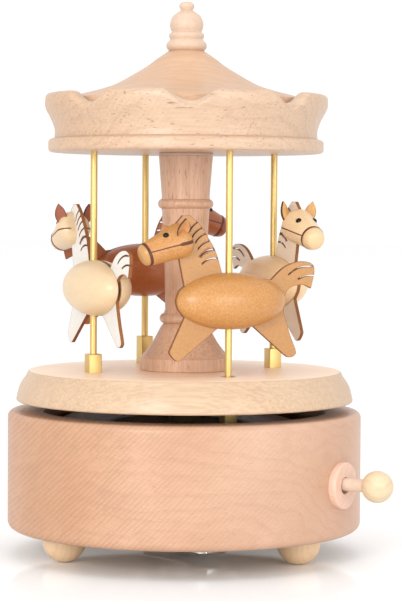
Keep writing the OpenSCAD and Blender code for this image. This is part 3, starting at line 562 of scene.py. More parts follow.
def makeKey():
    # a stamped wing key; only its lower side and ends can be seen
    z, t = box("winding_key")[0].z, keyLook["thick"]
    half = smoothLine(keyLook["wing"], 6)
    rim = half + [(x, -y) for x, y in reversed(half)] + [(-x, -y) for x, y in half]
    rim += [(-x, y) for x, y in reversed(half)]
    wing = bmesh.new()
    face = wing.faces.new([wing.verts.new((x, y, z)) for x, y in rim])
    top = bmesh.ops.extrude_face_region(wing, geom=[face])["geom"]
    bmesh.ops.translate(wing, vec=(0, 0, t), verts=[v for v in top if isinstance(v, bmesh.types.BMVert)])
    bmesh.ops.recalc_face_normals(wing, faces=wing.faces)
    outline = [e for e in wing.edges if e.is_manifold and e.calc_face_angle() > 1.0
               and abs(e.verts[0].co.z - e.verts[1].co.z) < 0.01]
    bmesh.ops.bevel(wing, geom=outline, offset=keyLook["edge"], segments=2, profile=0.5, affect="EDGES")
    parts = [wing]
    wide, tabTop = keyLook["tabHalf"], z + t + keyLook["tabHigh"]
    for near, far in ((keyLook["tabFrom"], keyLook["tabTo"]), (-keyLook["tabTo"], -keyLook["tabFrom"])):
        parts.append(roundedBox((near, -wide, z + 0.05), (far, wide, tabTop), keyLook["tabEdge"]))
    bore, outer, high = keyLook["bore"], keyLook["hub"], z + keyLook["hubHigh"]
    parts.append(revolve([(bore, z + t), (bore, high), (outer, high), (outer, z + t)], 40, closed=True))
    key = moved(merged(parts), Matrix.Rotation(math.radians(keyLook["turn"]), 4, "Z"))
    makePiece("wingKey", key, "winder", [finishes["steel"]], ["winding_key"])


makeDrum()
makeFeet()
makeKnob()
makeWasher()
makeKey()
print("drum, feet, knob and key made")


def polePlace(k):
    low, high = box(f"pole_{k}")
    return Vector(((low.x + high.x) / 2, (low.y + high.y) / 2, 0))


def poleTurn(k):
    return math.atan2(polePlace(k).y, polePlace(k).x)


def poleMatrix(k):
    # what is made at the origin goes to a pole, with X pointing away from the axis
    return Matrix.Translation(polePlace(k)) @ Matrix.Rotation(poleTurn(k), 4, "Z")


tableLook = {"edge": 0.7, "topEdge": 1.3, "bulge": 0.32, "taper": 3.5, "slot": 4.5, "slotRound": 0.15}


def makeTable():
    low, high = box("turntable")
    r, z0, z1 = high.x, low.z, high.z
    a, b, taper = tableLook["edge"], tableLook["topEdge"], tableLook["taper"]
    side = [(r, z0 + a), (r - taper * tableLook["bulge"], (z0 + z1) / 2), (r - taper, z1 - b)]
    profile = [(0, z0), (r - a - 2, z0)] + arcPoints(r - a, z0 + a, a, -90, 0, 6) + smoothLine(side, 8)[1:-1]
    profile += arcPoints(r - taper - b, z1 - b, b, 12, 90, 6) + [(r - taper - 8, z1), (0, z1)]
    bm = revolve(profile, 256)
    # the top faces take the lighter copy of the beech: painted light on the top
    for polygon in bm.faces:
        polygon.material_index = 1 if polygon.calc_center_median().z > z1 - 0.12 else 0
    looks = [finishes["table"], finishes["tableTopPaintedLight"]]
    table = makePiece("turntableDisc", bm, "carousel", looks, ["turntable"])
    half, edge = tableLook["slot"] / 2, tableLook["slotRound"]
    low, high = (-half, -half, z0 - 2), (half, half, z1 + 2)
    cutWith(table, merged([moved(roundedBox(low, high, edge), poleMatrix(k)) for k in range(1, 5)]))


# radii; the heights are shares of the column's height
columnLook = {"foot": 14.7, "shaft": 6.5, "bead": 1.8, "topBead": 2.55, "beadRound": 1.6, "collarRound": 0.3}


def makeColumn():
    base = box("turntable")[1].z
    low, high = box("column_collar")
    foot, shaft, rounding = columnLook["foot"], columnLook["shaft"], columnLook["beadRound"]

    def z(share):
        return base + (low.z - base) * share

    profile = [(0, base), (foot - 0.3, base), (foot, base + 0.3), (foot, z(0.058))]
    profile += smoothLine([(foot - 0.5, z(0.064)), (foot * 0.73, z(0.128)), (shaft + 1.5, z(0.2))], 8)
    profile += arcPoints(shaft + columnLook["bead"] - rounding, z(0.242), rounding, -80, 80, 10)
    profile += smoothLine([(shaft, z(0.285)), (shaft + 0.35, z(0.5)), (shaft + 1.2, z(0.742))], 8)
    profile += arcPoints(shaft + columnLook["topBead"] - rounding, z(0.777), rounding, -75, 75, 10)
    profile += smoothLine([(shaft + 1.3, z(0.812)), (shaft + 2.3, z(1))], 4) + [(0, z(1))]
    makePiece("turnedColumn", revolve(profile, 128), "carousel", [finishes["column"]], ["column"])
    edge = columnLook["collarRound"]
    profile = [(0, low.z)] + arcPoints(high.x - edge, low.z + edge, edge, -90, 0, 3)
    profile += arcPoints(high.x - edge, high.z - edge, edge, 0, 90, 3) + [(0, high.z)]
    collar = revolve(profile, 96)
    makePiece("columnCollar", collar, "carousel", [finishes["collar"]], ["column_collar"])


rimLook = {
    "notches": 8, "turn": 21.8, "width": 17.6, "depth": 4.4, "slope": 12.0, "wall": 4.2, "floor": 12.1,
    "round": 1.5, "bead": 1.2, "poleHole": 1.35, "steps": 480, "wallSteps": 20, "roundSteps": 6,
}


def makeRim():
    # the wall's top edge dips into the notches, so its rings follow the angle
    low, high = box("canopy_rim")
    base, top, r = low.z, high.z, high.x
    bore, floor = r - rimLook["wall"], base + rimLook["floor"]
    start = poleTurn(1) + math.radians(rimLook["turn"])
    steps, rounding, bead = rimLook["steps"], rimLook["round"], rimLook["bead"]
    foot = [(r - 5, base)] + arcPoints(r - 2.7, base + 1.2, bead, -90, 0, 6)
    foot += arcPoints(r - 2.7, base + 3.1, bead, 0, 75, 6)
    wall = smoothLine([(r - 3.5, base + 4.6), (r - 3.5, base + 7.6), (r - 2.2, base + 11.0),
                       (r - 0.35, base + 14.6), (r, top)], 8)

    def dip(a, radius):
        # how far the edge lies below the lobes' top at an angle and a radius
        pitch = 2 * math.pi / rimLook["notches"]
        turn = (a - start) % pitch
        t = radius * math.sin(min(turn, pitch - turn)) / (rimLook["width"] / 2)
        rise = math.tan(math.radians(rimLook["slope"])) * (r - radius)
        cut = rimLook["depth"] * (1 - t * t) ** 1.4 if abs(t) < 1 else 0.0
        return max(0.0, cut - rise * min(1.0, cut / 1.2))

    def onWall(a, share):
        # a share of the way up the outer wall, which ends where the edge's rounding starts
        bottom = wall[0][1]
        z = bottom + (top - dip(a, r) - rounding - bottom) * share
        n = next((n for n in range(1, len(wall)) if wall[n][1] >= z), len(wall) - 1)
        (r0, z0), (r1, z1) = wall[n - 1], wall[n]
        return r0 + (r1 - r0) * (z - z0) / (z1 - z0), z

    def onEdge(a, share):
        # a share of the way over the rounded edge
        turn = math.pi / 2 * share
        away, z = onWall(a, 1)
        away += rounding * (math.cos(turn) - 1)
        return away, z + rounding * math.sin(turn) + (dip(a, r) - dip(a, away)) * share

    bm = bmesh.new()
    rings = [ring(bm, 1, lambda a: (0, base))]
    rings += [ring(bm, steps, lambda a: point) for point in foot]
    for n in range(rimLook["wallSteps"] + 1):
        rings.append(ring(bm, steps, lambda a: onWall(a, n / rimLook["wallSteps"])))
    for n in range(1, rimLook["roundSteps"] + 1):
        rings.append(ring(bm, steps, lambda a: onEdge(a, n / rimLook["roundSteps"])))
    for away, down in ((bore + 0.5, 0.0), (bore + 0.15, 0.15), (bore, 0.5)):
        rings.append(ring(bm, steps, lambda a: (away, top - dip(a, away) - down)))
    rings.append(ring(bm, steps, lambda a: (bore, floor)))
    rings.append(ring(bm, 1, lambda a: (0, floor)))
    bridge(bm, rings, steps)
    rim = makePiece("canopyRim", bm, "carousel", [finishes["canopy"]], ["canopy_rim"], sharp=40)
    hole = rimLook["poleHole"]
    profile = [(0, base - 2), (hole, base - 2), (hole, base + 11), (0, base + 11)]
    holes = [moved(revolve(profile, 32), Matrix.Translation(polePlace(k))) for k in range(1, 5)]
    cutWith(rim, merged(holes), 40)


# points as (share of the edge's radius, share of the height)
roofLook = {"slope": [(0.86, 0.31), (0.72, 0.38), (0.56, 0.485), (0.333, 0.737), (0.232, 0.881)], "seat": 5.7}


def makeRoof():
    low, high = box("canopy_roof")
    base, tall, edge = low.z, high.z - low.z, high.x
    slope = [(edge * s, base + tall * share) for s, share in roofLook["slope"]]
    profile = [(0, base), (edge, base), (edge, base + tall * 0.17)]
    profile += smoothLine([(edge - 0.6, base + tall * 0.24)] + slope + [(roofLook["seat"], high.z)], 8)
    profile += [(0, high.z)]
    roof = revolve(profile, 192)
    makePiece("canopyRoof", roof, "carousel", [finishes["roof"]], ["canopy_roof"])


# points as (radius, share of the height), from the foot to the tip, with the steps between them
finialLook = [
    (8, [(6.45, 0.06), (6.5, 0.14), (5.5, 0.215)]),
    (6, [(5.3, 0.235), (5.65, 0.29), (5.6, 0.34), (4.95, 0.375)]),
    (8, [(4.85, 0.388), (5.35, 0.48), (5.35, 0.58), (4.4, 0.71), (2.6, 0.795), (1.9, 0.825)]),
    (6, [(2.1, 0.85), (2.45, 0.905), (2.1, 0.96), (1.2, 0.99), (0, 1)]),
]


def makeFinial():
    base = box("canopy_roof")[1].z
    tall = box("finial")[1].z - base
    profile = [(0, base), (5.5, base)]
    for n, (steps, points) in enumerate(finialLook):
        line = [(r, base + tall * share) for r, share in points]
        profile += smoothLine([(5.7, base + 0.05)] + line if n == 0 else line, steps)
    finial = revolve(profile, 96)
    makePiece("turnedFinial", finial, "carousel", [finishes["finial"]], ["finial"])


makeTable()
makeColumn()
makeRim()
makeRoof()
makeFinial()
print("carousel made")


# the plate's thickness, the width of its saw cuts and of its scorched edge, its mesh's steps, and its extent
plateLook = {
    "thick": 1.1, "slit": 0.42, "edgeDark": 0.36, "fine": 0.12, "coarse": 1.1,
    "across": (-30, 21), "up": (-19, 27),
}
# where the mane's cuts start, and the tail's cuts as start, direction, length and bend
manes = [(9.5, 11.7), (10.1, 14.1), (10.9, 16.4), (11.8, 18.4), (13, 19.9), (14, 21.5)]
tails = [((-20.8, 8.2), 173, 11.5, 10), ((-24.2, 6.7), 177, 8, 9)]


def bowedLine(start, direction, chord, r, steps=10):
    # a shallow arch that starts at a point and leaves in a direction
    half, first = math.degrees(math.asin(chord / 2 / r)), direction - 90
    d = math.radians(direction)
    middle = Vector(start) + chord / 2 * Vector((math.cos(d), math.sin(d)))
    n = math.radians(first)
    centre = middle - r * math.cos(math.radians(half)) * Vector((math.cos(n), math.sin(n)))
    return [Vector(p) for p in arcPoints(centre.x, centre.y, r, first - half, first + half, steps)]


def insideOf(point, polygon):
    hit = False
    x, y = point
    for (x1, y1), (x2, y2) in zip(polygon, polygon[1:] + polygon[:1]):
        if (y1 > y) != (y2 > y) and x < (x2 - x1) * (y - y1) / (y2 - y1) + x1:
            hit = not hit
    return hit


def slitPath(line, outline):
    # the two sides of a saw cut, from the outline in to the blunt end and out again
    w = plateLook["slit"] / 2
    inner = [p for p in line if insideOf(p, outline)]
    far = next((p for p in line if not insideOf(p, outline)), line[-1])
    path = inner + [far]
    left, right = [], []
    for i, p in enumerate(path):
        d = (path[min(i + 1, len(path) - 1)] - path[max(i - 1, 0)]).normalized()
        n = Vector((-d.y, d.x)) * w
        left.append(p + n)
        right.append(p - n)
    return left, right, path[0] - (path[1] - path[0]).normalized() * w


def profileOutline():
    # the neck, mane, tail and legs, counter-clockwise from the chest up
    body = smoothLine([(15.6, 4.8), (16.3, 8.2), (17.3, 13.1), (17.9, 18), (18.4, 24.4)], 5)
    body += [(17.2, 25.6), (16.2, 26.7)]
    body += smoothLine([(13.7, 26.7), (10.7, 24.2), (8.1, 20.8), (4.9, 15.5), (2.7, 8.9)], 14)
    body += [(2.2, 7.6), (-11, 7)]
    body += smoothLine([(-14.7, 6.6), (-18.5, 10), (-22.3, 11.8), (-26.6, 12.3), (-29.6, 11.1),
                        (-30, 8.4)], 8)
    body += smoothLine([(-28.8, 3.7), (-26.3, 4.8), (-23, 4.6), (-20.6, 3.4), (-19.3, 1)], 6)
    body += smoothLine([(-19.1, -3.6), (-21.4, -10.8), (-23.5, -15.9), (-23.2, -17.4), (-21.5, -18.1),
                        (-19.7, -17.4), (-14.7, -13.3), (-8.1, -7.9)], 5)
    body += [(-6, -8.2), (3.9, -8.4)]
    body += smoothLine([(16.9, -18.35), (18, -18.45), (19.6, -17.2), (20.5, -15.8), (20.2, -14.7),
                        (18, -10.1), (15.5, -5)], 5)
    body += smoothLine([(17.6, -2.6), (18.4, 0.2), (17.3, 3.4)], 5)
    return [Vector(p) for p in body]


def meet(side, a, b):
    # where one side of a saw cut, drawn on a little, crosses an edge
    return geometry.intersect_line_line_2d(side[-2], side[-1] + (side[-1] - side[-2]) * 3, a, b)


def spliceSlits(outline, lines):
    # every saw cut opens on the outline between the two points nearest to where it leaves
    for line in lines:
        left, right, tip = slitPath(line, outline)
        cross = left[-1] * 0.5 + right[-1] * 0.5

        def away(i):
            a, b = outline[i], outline[(i + 1) % len(outline)]
            t = geometry.intersect_point_line(cross, a, b)[1]
            return (a.lerp(b, min(1.0, max(0.0, t))) - cross).length

        best = min(range(len(outline)), key=away)
        a, b = outline[best], outline[(best + 1) % len(outline)]
        onLeft = meet(left, a, b) or a.lerp(b, 0.4)
        onRight = meet(right, a, b) or a.lerp(b, 0.6)
        if (onLeft - a).length > (onRight - a).length:
            left, right, onLeft, onRight = right, left, onRight, onLeft
        cut = [onLeft.copy()] + left[-2::-1] + [tip] + right[:-1] + [onRight.copy()]
        outline = outline[:best + 1] + cut + outline[best + 1:]
    return outline


def plateMesh():
    # one fine flat mesh for all four horses: points, faces and each point's distance from the nearest edge
    cuts = [bowedLine(p, 180 - 7.2 * k, 8.5 - 0.4 * k, 6) for k, p in enumerate(manes)]
    cuts += [bowedLine(*tail) for tail in tails]
    outline = spliceSlits(profileOutline(), cuts)
    count = len(outline)
    spots = []
    for i in range(count):
        a, b = outline[i], outline[(i + 1) % count]
        steps = max(1, int((b - a).length / plateLook["fine"]))
        spots += [a.lerp(b, k / steps) for k in range(steps)]
    tree = kdtree.KDTree(len(spots))
    for i, p in enumerate(spots):
        tree.insert(p.to_3d(), i)
    tree.balance()
    polygon = [tuple(p) for p in outline]

    def addPoint(p, clear):
        if tree.find(p.to_3d())[2] > clear and insideOf(p, polygon):
            extra.append(p)

    extra = []
    for i in range(0, len(spots), 3):
        n = spots[(i + 1) % len(spots)] - spots[i - 1]
        if n.length > 1e-6:
            n = Vector((-n.y, n.x)).normalized()
            for depth in (0.22, 0.5):
                addPoint(spots[i] + n * depth, depth * 0.9)
    dice = random.Random(7)
    step, (x0, x1), (z0, z1) = plateLook["coarse"], plateLook["across"], plateLook["up"]
    for i in range(math.ceil((x1 - x0) / step)):
        for j in range(math.ceil((z1 - z0) / step)):
            x = x0 + i * step + dice.uniform(-0.2, 0.2)
            addPoint(Vector((x, z0 + j * step + dice.uniform(-0.2, 0.2))), 0.75)
    edges = [(i, (i + 1) % count) for i in range(count)]
    verts, edges, faces = geometry.delaunay_2d_cdt(outline + extra, edges, [list(range(count))], 1, 1e-5)[:3]
    inside = [f for f in faces if insideOf(sum((verts[i] for i in f), Vector((0, 0))) / len(f), polygon)]
    return verts, inside, [tree.find(v.to_3d())[2] for v in verts]


# What a horse can be given: two tones for its turned wood, and tones for the plate, the muzzle and the ears;
# how speckled and how light the stain is; how far forward the flanks sit; how far the noseband is from the
# nose, and how heavy the straps are; the ears' place, width, lean on each side, turn and cup.
horseLook = {
    "flankAt": -0.5, "bandAt": 3.4, "strap": 1.0, "wedge": 1.0,
    "earAt": 17.0, "earWide": 3.7, "earLean": (14, 14), "earTurn": 62, "earCup": 0.75,
}
horses = {
    1: {"slot": "honey_stain", "light": tint(238, 180, 108), "dark": tint(216, 146, 76),
        "plate": tint(219, 159, 93), "muzzle": tint(220, 164, 96), "mottle": 0.5, "level": 0.74,
        "ears": (tint(214, 158, 104), tint(178, 116, 70)), "bandAt": 2.1,
        "earAt": 18.4, "earWide": 4.4, "earLean": (38, 66), "earTurn": 10, "earCup": 1.9},
    2: {"slot": "natural_wood", "light": tint(247, 220, 178), "dark": tint(234, 198, 152),
        "plate": tint(254, 238, 212), "muzzle": tint(233, 199, 152), "mottle": 0.1, "level": 0.93,
        "ears": (tint(218, 172, 104), tint(180, 126, 66)), "wedge": 0.1},
    3: {"slot": "chestnut_stain", "light": tint(200, 118, 62), "dark": tint(162, 80, 38),
        "plate": tint(184, 106, 56), "muzzle": tint(166, 80, 42), "mottle": 0.3, "level": 0.85,
        "ears": (tint(120, 66, 42), tint(92, 48, 30))},
    4: {"slot": "pale_wood", "light": tint(249, 223, 184), "dark": tint(236, 200, 154),
        "plate": tint(254, 248, 238), "muzzle": tint(247, 219, 178), "mottle": 0.08, "level": 0.76,
        "ears": (tint(160, 92, 64), tint(128, 66, 44)), "strap": 0.8, "wedge": 0.1, "flankAt": -2.6},
}


def horseMatrix(k):
    # a horse's own place: x runs forwards and z up, from the middle of the body
    low, high = box(f"horse_flanks_{k}")
    middle = Matrix.Translation((0, 0, (low.z + high.z) / 2))
    return poleMatrix(k) @ middle @ Matrix.Rotation(-math.pi / 2, 4, "Z")


def horsePiece(k, name, bm, materials, node="", sharp=35):
    replaced = [f"{node}_{k}"] if node else []
    makePiece(f"{name}{k}", bm, f"horse_{k}", materials, replaced, sharp)


def makePlate(k, plate, woods):
    # two flat faces, with scorched side walls between them
    bm = bmesh.new()
    char = bm.verts.layers.float.new("char")
    points, faces, gaps = plate
    layers = []
    for y in (plateLook["thick"] / 2, -plateLook["thick"] / 2):
        layer = []
        for p, gap in zip(points, gaps):
            layer.append(bm.verts.new((p.x, y, p.y)))
            layer[-1][char] = max(0.0, 1 - gap / plateLook["edgeDark"])
        for corners in faces:
            bm.faces.new([layer[i] for i in corners])
        layers.append(layer)
    front, back = layers
    order = {v: i for i, v in enumerate(front)}
    for edge in [e for e in bm.edges if len(e.link_faces) == 1 and e.verts[0] in order]:
        a, b = (order[v] for v in edge.verts)
        wall = bm.faces.new((front[a], front[b], back[b], back[a]))
        wall.material_index = 1
    bmesh.ops.recalc_face_normals(bm, faces=bm.faces)
    moved(bm, horseMatrix(k))
    horsePiece(k, "horseProfile", bm, [woods["plate"], finishes["burnt"]], "horse_profile", sharp=40)


flankLook = {"long": 37.4, "radius": 8.9, "out": 0.1, "steps": 48, "rows": 28, "edgeDark": 0.75}


def makeFlanks(k, look, woods):
    # two halves of a turned spindle, glued on to the plate
    bm = bmesh.new()
    char = bm.verts.layers.float.new("char")
    r, steps, rows = flankLook["radius"], flankLook["steps"], flankLook["rows"]
    flat = plateLook["thick"] / 2 - flankLook["out"]  # where the spindle is sawn, from its axis
    limit = math.acos(flat / r)
    for side in (1, -1):
        grid = []
        for i in range(steps + 1):
            a = -limit + 2 * limit * i / steps
            s, rho = look["flankAt"] + flankLook["long"] / 2 * math.sin(a), r * math.cos(a)
            low = math.asin(min(1.0, flat / rho))
            row = []
            for j in range(rows + 1):
                b = low + (math.pi - 2 * low) * j / rows
                v = bm.verts.new((s, side * (flankLook["out"] + rho * math.sin(b)), rho * math.cos(b)))
                # the rim, where a flank meets the plate, is darkened
                v[char] = flankLook["edgeDark"] if j in (0, rows) or i in (0, steps) else 0.0
                row.append(v)
            grid.append(row)
        for a, b in zip(grid, grid[1:]):
            for j in range(rows):
                bm.faces.new((a[j], b[j], b[j + 1], a[j + 1]))
        bm.faces.new([row[0] for row in grid] + [row[-1] for row in reversed(grid)])
    bmesh.ops.remove_doubles(bm, verts=bm.verts, dist=1e-4)
    bmesh.ops.recalc_face_normals(bm, faces=bm.faces)
    horsePiece(k, "horseFlanks", moved(bm, horseMatrix(k)), [woods["turned"]], "horse_flanks", sharp=50)


headLook = {"at": (14.2, 0, 20.0), "tilt": 21.0, "long": 17.2, "cheek": 5.6, "muzzle": 3.62, "round": 3.2}


def headMatrix(k):
    # the head is turned round Z, from its back to the nose
    tilt = Matrix.Rotation(math.radians(90 + headLook["tilt"]), 4, "Y")
    return horseMatrix(k) @ Matrix.Translation(headLook["at"]) @ tilt


def headRadius(a):
    # the head's radius at a distance from its back: a rounded end, then a cone
    cheek, rounding = headLook["cheek"], headLook["round"]
    if a < rounding:
        return cheek - rounding + math.sqrt(max(0.0, rounding ** 2 - (rounding - a) ** 2))
    share = (a - rounding) / (headLook["long"] - 2.2 - rounding)
    return cheek + (headLook["muzzle"] - cheek) * min(1.0, share)


def makeHead(k, look, woods):
    # the muzzle is left pale beyond the noseband
    long, cheek, muzzle, rounding = (headLook[key] for key in ("long", "cheek", "muzzle", "round"))
    band = long - look["bandAt"]
    profile = [(0, 0)] + arcPoints(cheek - rounding, rounding, rounding, -90, 0, 12)
    profile += [(headRadius(a), a) for a in (4.5, 6, 8, 10, 12, band - 0.45)]
    profile += [(headRadius(band) - 0.12, band)]
    if look["bandAt"] > 2.5:
        profile += [(headRadius(band) - 0.02, band + 0.4)]
    profile += smoothLine([(muzzle - 0.04, long - min(2.1, look["bandAt"]) + 0.1),
                           (muzzle * 0.80, long - 0.72), (muzzle * 0.42, long - 0.1), (0, long)], 7)
    bm = revolve(profile, 64)
    for polygon in bm.faces:
        polygon.material_index = int(polygon.calc_center_median().z > band)
    moved(bm, headMatrix(k))
    horsePiece(k, "horseHead", bm, [woods["turned"], woods["muzzle"]], "horse_head", sharp=60)


# how high the straps stand, how deep they're sunk, their half width, and how much wider they get at the back
bridleLook = {"high": 0.07, "sunk": 0.12, "half": 0.18, "wedge": 0.36}


def makeBridle(k, look):
    # a noseband and two cheek straps, burnt on and barely raised
    band, heavy = headLook["long"] - look["bandAt"], look["strap"]
    r = headRadius(band)
    bm = revolve([(r - 0.3, band - 0.1 - 0.50 * heavy), (r + 0.1, band - 0.46 * heavy),
                  (r + 0.1, band + 0.34 * heavy), (r - 0.3, band + 0.1 + 0.38 * heavy)], 64, closed=True)
    line = smoothLine([(band - 0.2, 0.7), (9.0, 0.05), (5.2, -0.45), (1.6, -0.95), (0.5, -1.1), (0.12, -1.2),
                       (0.01, -1.25)], 8)
    high, sunk = bridleLook["high"], -bridleLook["sunk"]
    for side in (1, -1):
        strips = []
        for a, middle in line:
            wider = look["wedge"] * min(1.0, max(0.0, 5.8 - a) / 1.2)
            half = bridleLook["half"] + bridleLook["wedge"] * wider
            row = []
            for edge, lift in ((-1, sunk), (-1, high), (1, high), (1, sunk)):
                r, height = headRadius(a) + lift, middle + edge * half
                row.append(bm.verts.new((-height, side * math.sqrt(max(0.01, r * r - height * height)), a)))
            strips.append(row)
        for a, b in zip(strips, strips[1:]):
            for j in range(3):
                bm.faces.new((a[j], b[j], b[j + 1], a[j + 1]))
        bm.faces.new(strips[0])
        bm.faces.new(strips[-1])
    bmesh.ops.recalc_face_normals(bm, faces=bm.faces)
    horsePiece(k, "horseBridle", moved(bm, headMatrix(k)), [finishes["strap"]])


eyeLook = {"radius": 1.05, "along": 8.0, "up": 52, "sunk": 0.42}


def makeEyes(k):
    eyes = []
    for side in (1, -1):
        up = math.radians(eyeLook["up"])
        out = Vector((-math.sin(up), side * math.cos(up), 0))
        place = out * (headRadius(eyeLook["along"]) - eyeLook["sunk"]) + Vector((0, 0, eyeLook["along"]))
        bead = revolve(arcPoints(0, 0, eyeLook["radius"], 90, -20, 10), 32)
        eyes.append(moved(bead, facing(place, out, "Z")))
    horsePiece(k, "horseEyes", moved(merged(eyes), headMatrix(k)), [finishes["eye"]])


# an ear's size and place, and its outline as (share of the width, share of the height)
earLook = {
    "high": 6.0, "thick": 0.62, "apart": 4.1, "tip": 24.2, "columns": 8, "levels": 12,
    "outline": [(0.36, 0.0), (0.47, 0.2), (0.5, 0.4), (0.40, 0.66), (0.20, 0.86), (0.03, 1.0)],
}


def makeEars(k, look):
    # cupped leather leaves
    bm = bmesh.new()
    char = bm.verts.layers.float.new("char")
    high, thick, columns, levels = (earLook[key] for key in ("high", "thick", "columns", "levels"))
    outline = smoothLine(earLook["outline"], 6)
    for side, lean in zip((1, -1), look["earLean"]):
        place = (Matrix.Translation((look["earAt"], side * earLook["apart"], earLook["tip"] - high / 2))
                 @ Matrix.Rotation(-side * math.radians(lean), 4, "X")
                 @ Matrix.Rotation(side * math.radians(look["earTurn"]), 4, "Z"))
        layers = []
        for face in (thick / 2, -thick / 2):
            grid = []
            for i in range(levels + 1):
                half, level = outline[i * (len(outline) - 1) // levels]
                cup = look["earCup"] * half / 0.5 * (0.9 - 0.5 * i / levels)
                row = []
                for j in range(columns + 1):
                    u = -1 + 2 * j / columns
                    y = side * cup * (u * u - 0.5) + face
                    spot = Vector((u * half * look["earWide"], y, level * high - 0.3))
                    row.append(bm.verts.new(place @ spot))
                    row[-1][char] = 1.0 if j in (0, columns) or i == levels else 0.0
                grid.append(row)
            layers.append(grid)
        front, back = layers
        for i in range(levels):
            for j in range(columns):
                bm.faces.new((front[i][j], front[i][j + 1], front[i + 1][j + 1], front[i + 1][j]))
                bm.faces.new((back[i][j], back[i + 1][j], back[i + 1][j + 1], back[i][j + 1]))
            for j in (0, columns):
                bm.faces.new((front[i][j], front[i + 1][j], back[i + 1][j], back[i][j]))
        for j in range(columns):
            for i in (0, levels):
                bm.faces.new((front[i][j], back[i][j], back[i][j + 1], front[i][j + 1]))
    bmesh.ops.recalc_face_normals(bm, faces=bm.faces)
    hide = leather(f"earLeather{k}", *look["ears"])
    horsePiece(k, "horseEars", moved(bm, horseMatrix(k)), [hide], "horse_ears", sharp=50)


poleLook = {"foot": 0.4, "tip": 0.2, "blockHalf": 2.15, "blockEdge": 0.22}


def makePole(k):
    low, high = box(f"pole_{k}")
    r, tall, foot, tip = (high.x - low.x) / 2, high.z - low.z, poleLook["foot"], poleLook["tip"]
    profile = [(0, low.z), (r - foot, low.z), (r, low.z + foot)]
    profile += [(r, low.z + tall * n / 12) for n in range(1, 12)]
    profile += [(r, high.z - tip), (r - tip, high.z), (0, high.z)]
    pole = moved(revolve(profile, 40), Matrix.Translation(polePlace(k)))
    horsePiece(k, "brassPole", pole, [finishes["brass"]], "pole")
    low, high = box(f"guide_block_{k}")
    half = poleLook["blockHalf"]
    block = roundedBox((-half, -half, low.z), (half, half, high.z), poleLook["blockEdge"])
    horsePiece(k, "guideBlock", moved(block, poleMatrix(k)), [finishes["brass"]], "guide_block")


def makeHorse(k, plate):
    look = {**horseLook, **horses[k]}
    stain = {
        "tilt": 0, "rings": 3.0, "ringDepth": 0.06, "pores": 0.08, "poreSize": (0.5, 2.5, 2.5), "fibre": 0.06,
        "patch": 0.35, "rough": 0.38, "coat": 0.2, "char": tint(112, 60, 32), "seed": 7.0 * k,
        "azimuth": math.degrees(poleTurn(k)) - 90, "mottle": look["mottle"], "level": look["level"],
    }
    onPlate = {**stain, "coat": 0.1, "mottle": look["mottle"] * 0.8}
    onMuzzle = {**stain, "char": None, "mottle": 0.08}
    woods = {
        "turned": wood(f"flankWood{k}", look["light"], look["dark"], **stain),
        "plate": wood(f"plateWood{k}", look["plate"], shade(look["plate"], 0.86), **onPlate),
        "muzzle": wood(f"muzzleWood{k}", look["muzzle"], shade(look["muzzle"], 0.9), **onMuzzle),
    }
    makePlate(k, plate, woods)
    makeFlanks(k, look, woods)
    makeHead(k, look, woods)
    makeBridle(k, look)
    makeEyes(k)
    makeEars(k, look)
    makePole(k)


plate = plateMesh()
print("plate mesh:", len(plate[0]), "points")
for k in horses:
    makeHorse(k, plate)
    print("horse", k, "made")


# lengths in metres from here on, and angles in degrees
cameraLook = {
    "distance": 0.707, "height": 0.11165, "lens": 129.98, "aim": 0.08249, "side": 0.407, "roll": 0.35,
}


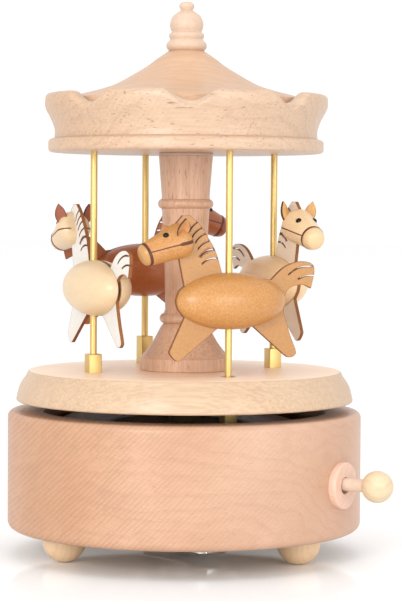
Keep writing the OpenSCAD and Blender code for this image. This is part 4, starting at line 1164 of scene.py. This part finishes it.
def makeCamera():
    turn = math.radians(viewAngle)
    place = Vector((math.cos(turn), math.sin(turn), 0)) * cameraLook["distance"]
    place.z = cameraLook["height"]
    forward = Vector((0, 0, cameraLook["aim"])) - place
    forward.rotate(Matrix.Rotation(-math.radians(cameraLook["side"]), 3, "Z"))
    camera = addObject("camera", bpy.data.cameras.new("camera"))
    camera.matrix_world = facing(place, forward) @ Matrix.Rotation(math.radians(cameraLook["roll"]), 4, "Z")
    camera.data.sensor_fit = "VERTICAL"
    camera.data.sensor_height = 36
    camera.data.lens = cameraLook["lens"]
    camera.data.clip_end = 30
    bpy.context.scene.camera = camera


# angle from the camera, height, distance, size and power
lights = {
    "keyLight": (-22, 0.34, 1.0, 0.4, 4.6),
    "fillLight": (36, 0.20, 1.1, 0.6, 3.2),
    "topLight": (10, 1.2, 0.1, 0.7, 1.5),
}
lightAim = Vector((0, 0, 0.09))


def makeLights():
    for name, (angle, height, distance, size, power) in lights.items():
        data = bpy.data.lights.new(name, "AREA")
        data.shape = "DISK"
        data.size = size
        data.energy = power
        a = math.radians(viewAngle + angle)
        spot = Vector((math.cos(a) * distance, math.sin(a) * distance, height))
        addObject(name, data).matrix_world = facing(spot, lightAim - spot)


roomLook = {"floorSize": 6.0, "below": 0.0001, "white": 0.99, "shine": 0.24, "sky": 1.06}


def makeRoom():
    # a pale floor with a faint gloss, under an even white sky
    bm = bmesh.new()
    bmesh.ops.create_grid(bm, x_segments=8, y_segments=8, size=roomLook["floorSize"] / mm)
    floor = meshObject("floor", bm)
    floor.location.z = -roomLook["below"]
    n = Nodes("paleFloor")
    n.finish((roomLook["white"],) * 3, 0.9, Specular_IOR_Level=0.0)
    shine = n.add("ShaderNodeBsdfGlossy")
    n.put(shine.inputs["Roughness"], n.math("MULTIPLY_ADD", n.noise(n.place, 0.02, 3), 0.04, 0.05))
    blend = n.add("ShaderNodeMixShader")
    blend.inputs["Fac"].default_value = roomLook["shine"]
    n.link(n.shader.outputs[0], blend.inputs[1])
    n.link(shine.outputs[0], blend.inputs[2])
    n.link(blend.outputs[0], n.tree.nodes["Material Output"].inputs["Surface"])
    floor.data.materials.append(n.material)
    world = bpy.data.worlds.new("studio")
    world.use_nodes = True
    background = world.node_tree.nodes["Background"]
    background.inputs["Color"].default_value = (1, 1, 1, 1)
    background.inputs["Strength"].default_value = roomLook["sky"]
    bpy.context.scene.world = world
    bpy.context.scene.view_settings.view_transform = "Standard"


makeCamera()
makeLights()
makeRoom()
print("done")
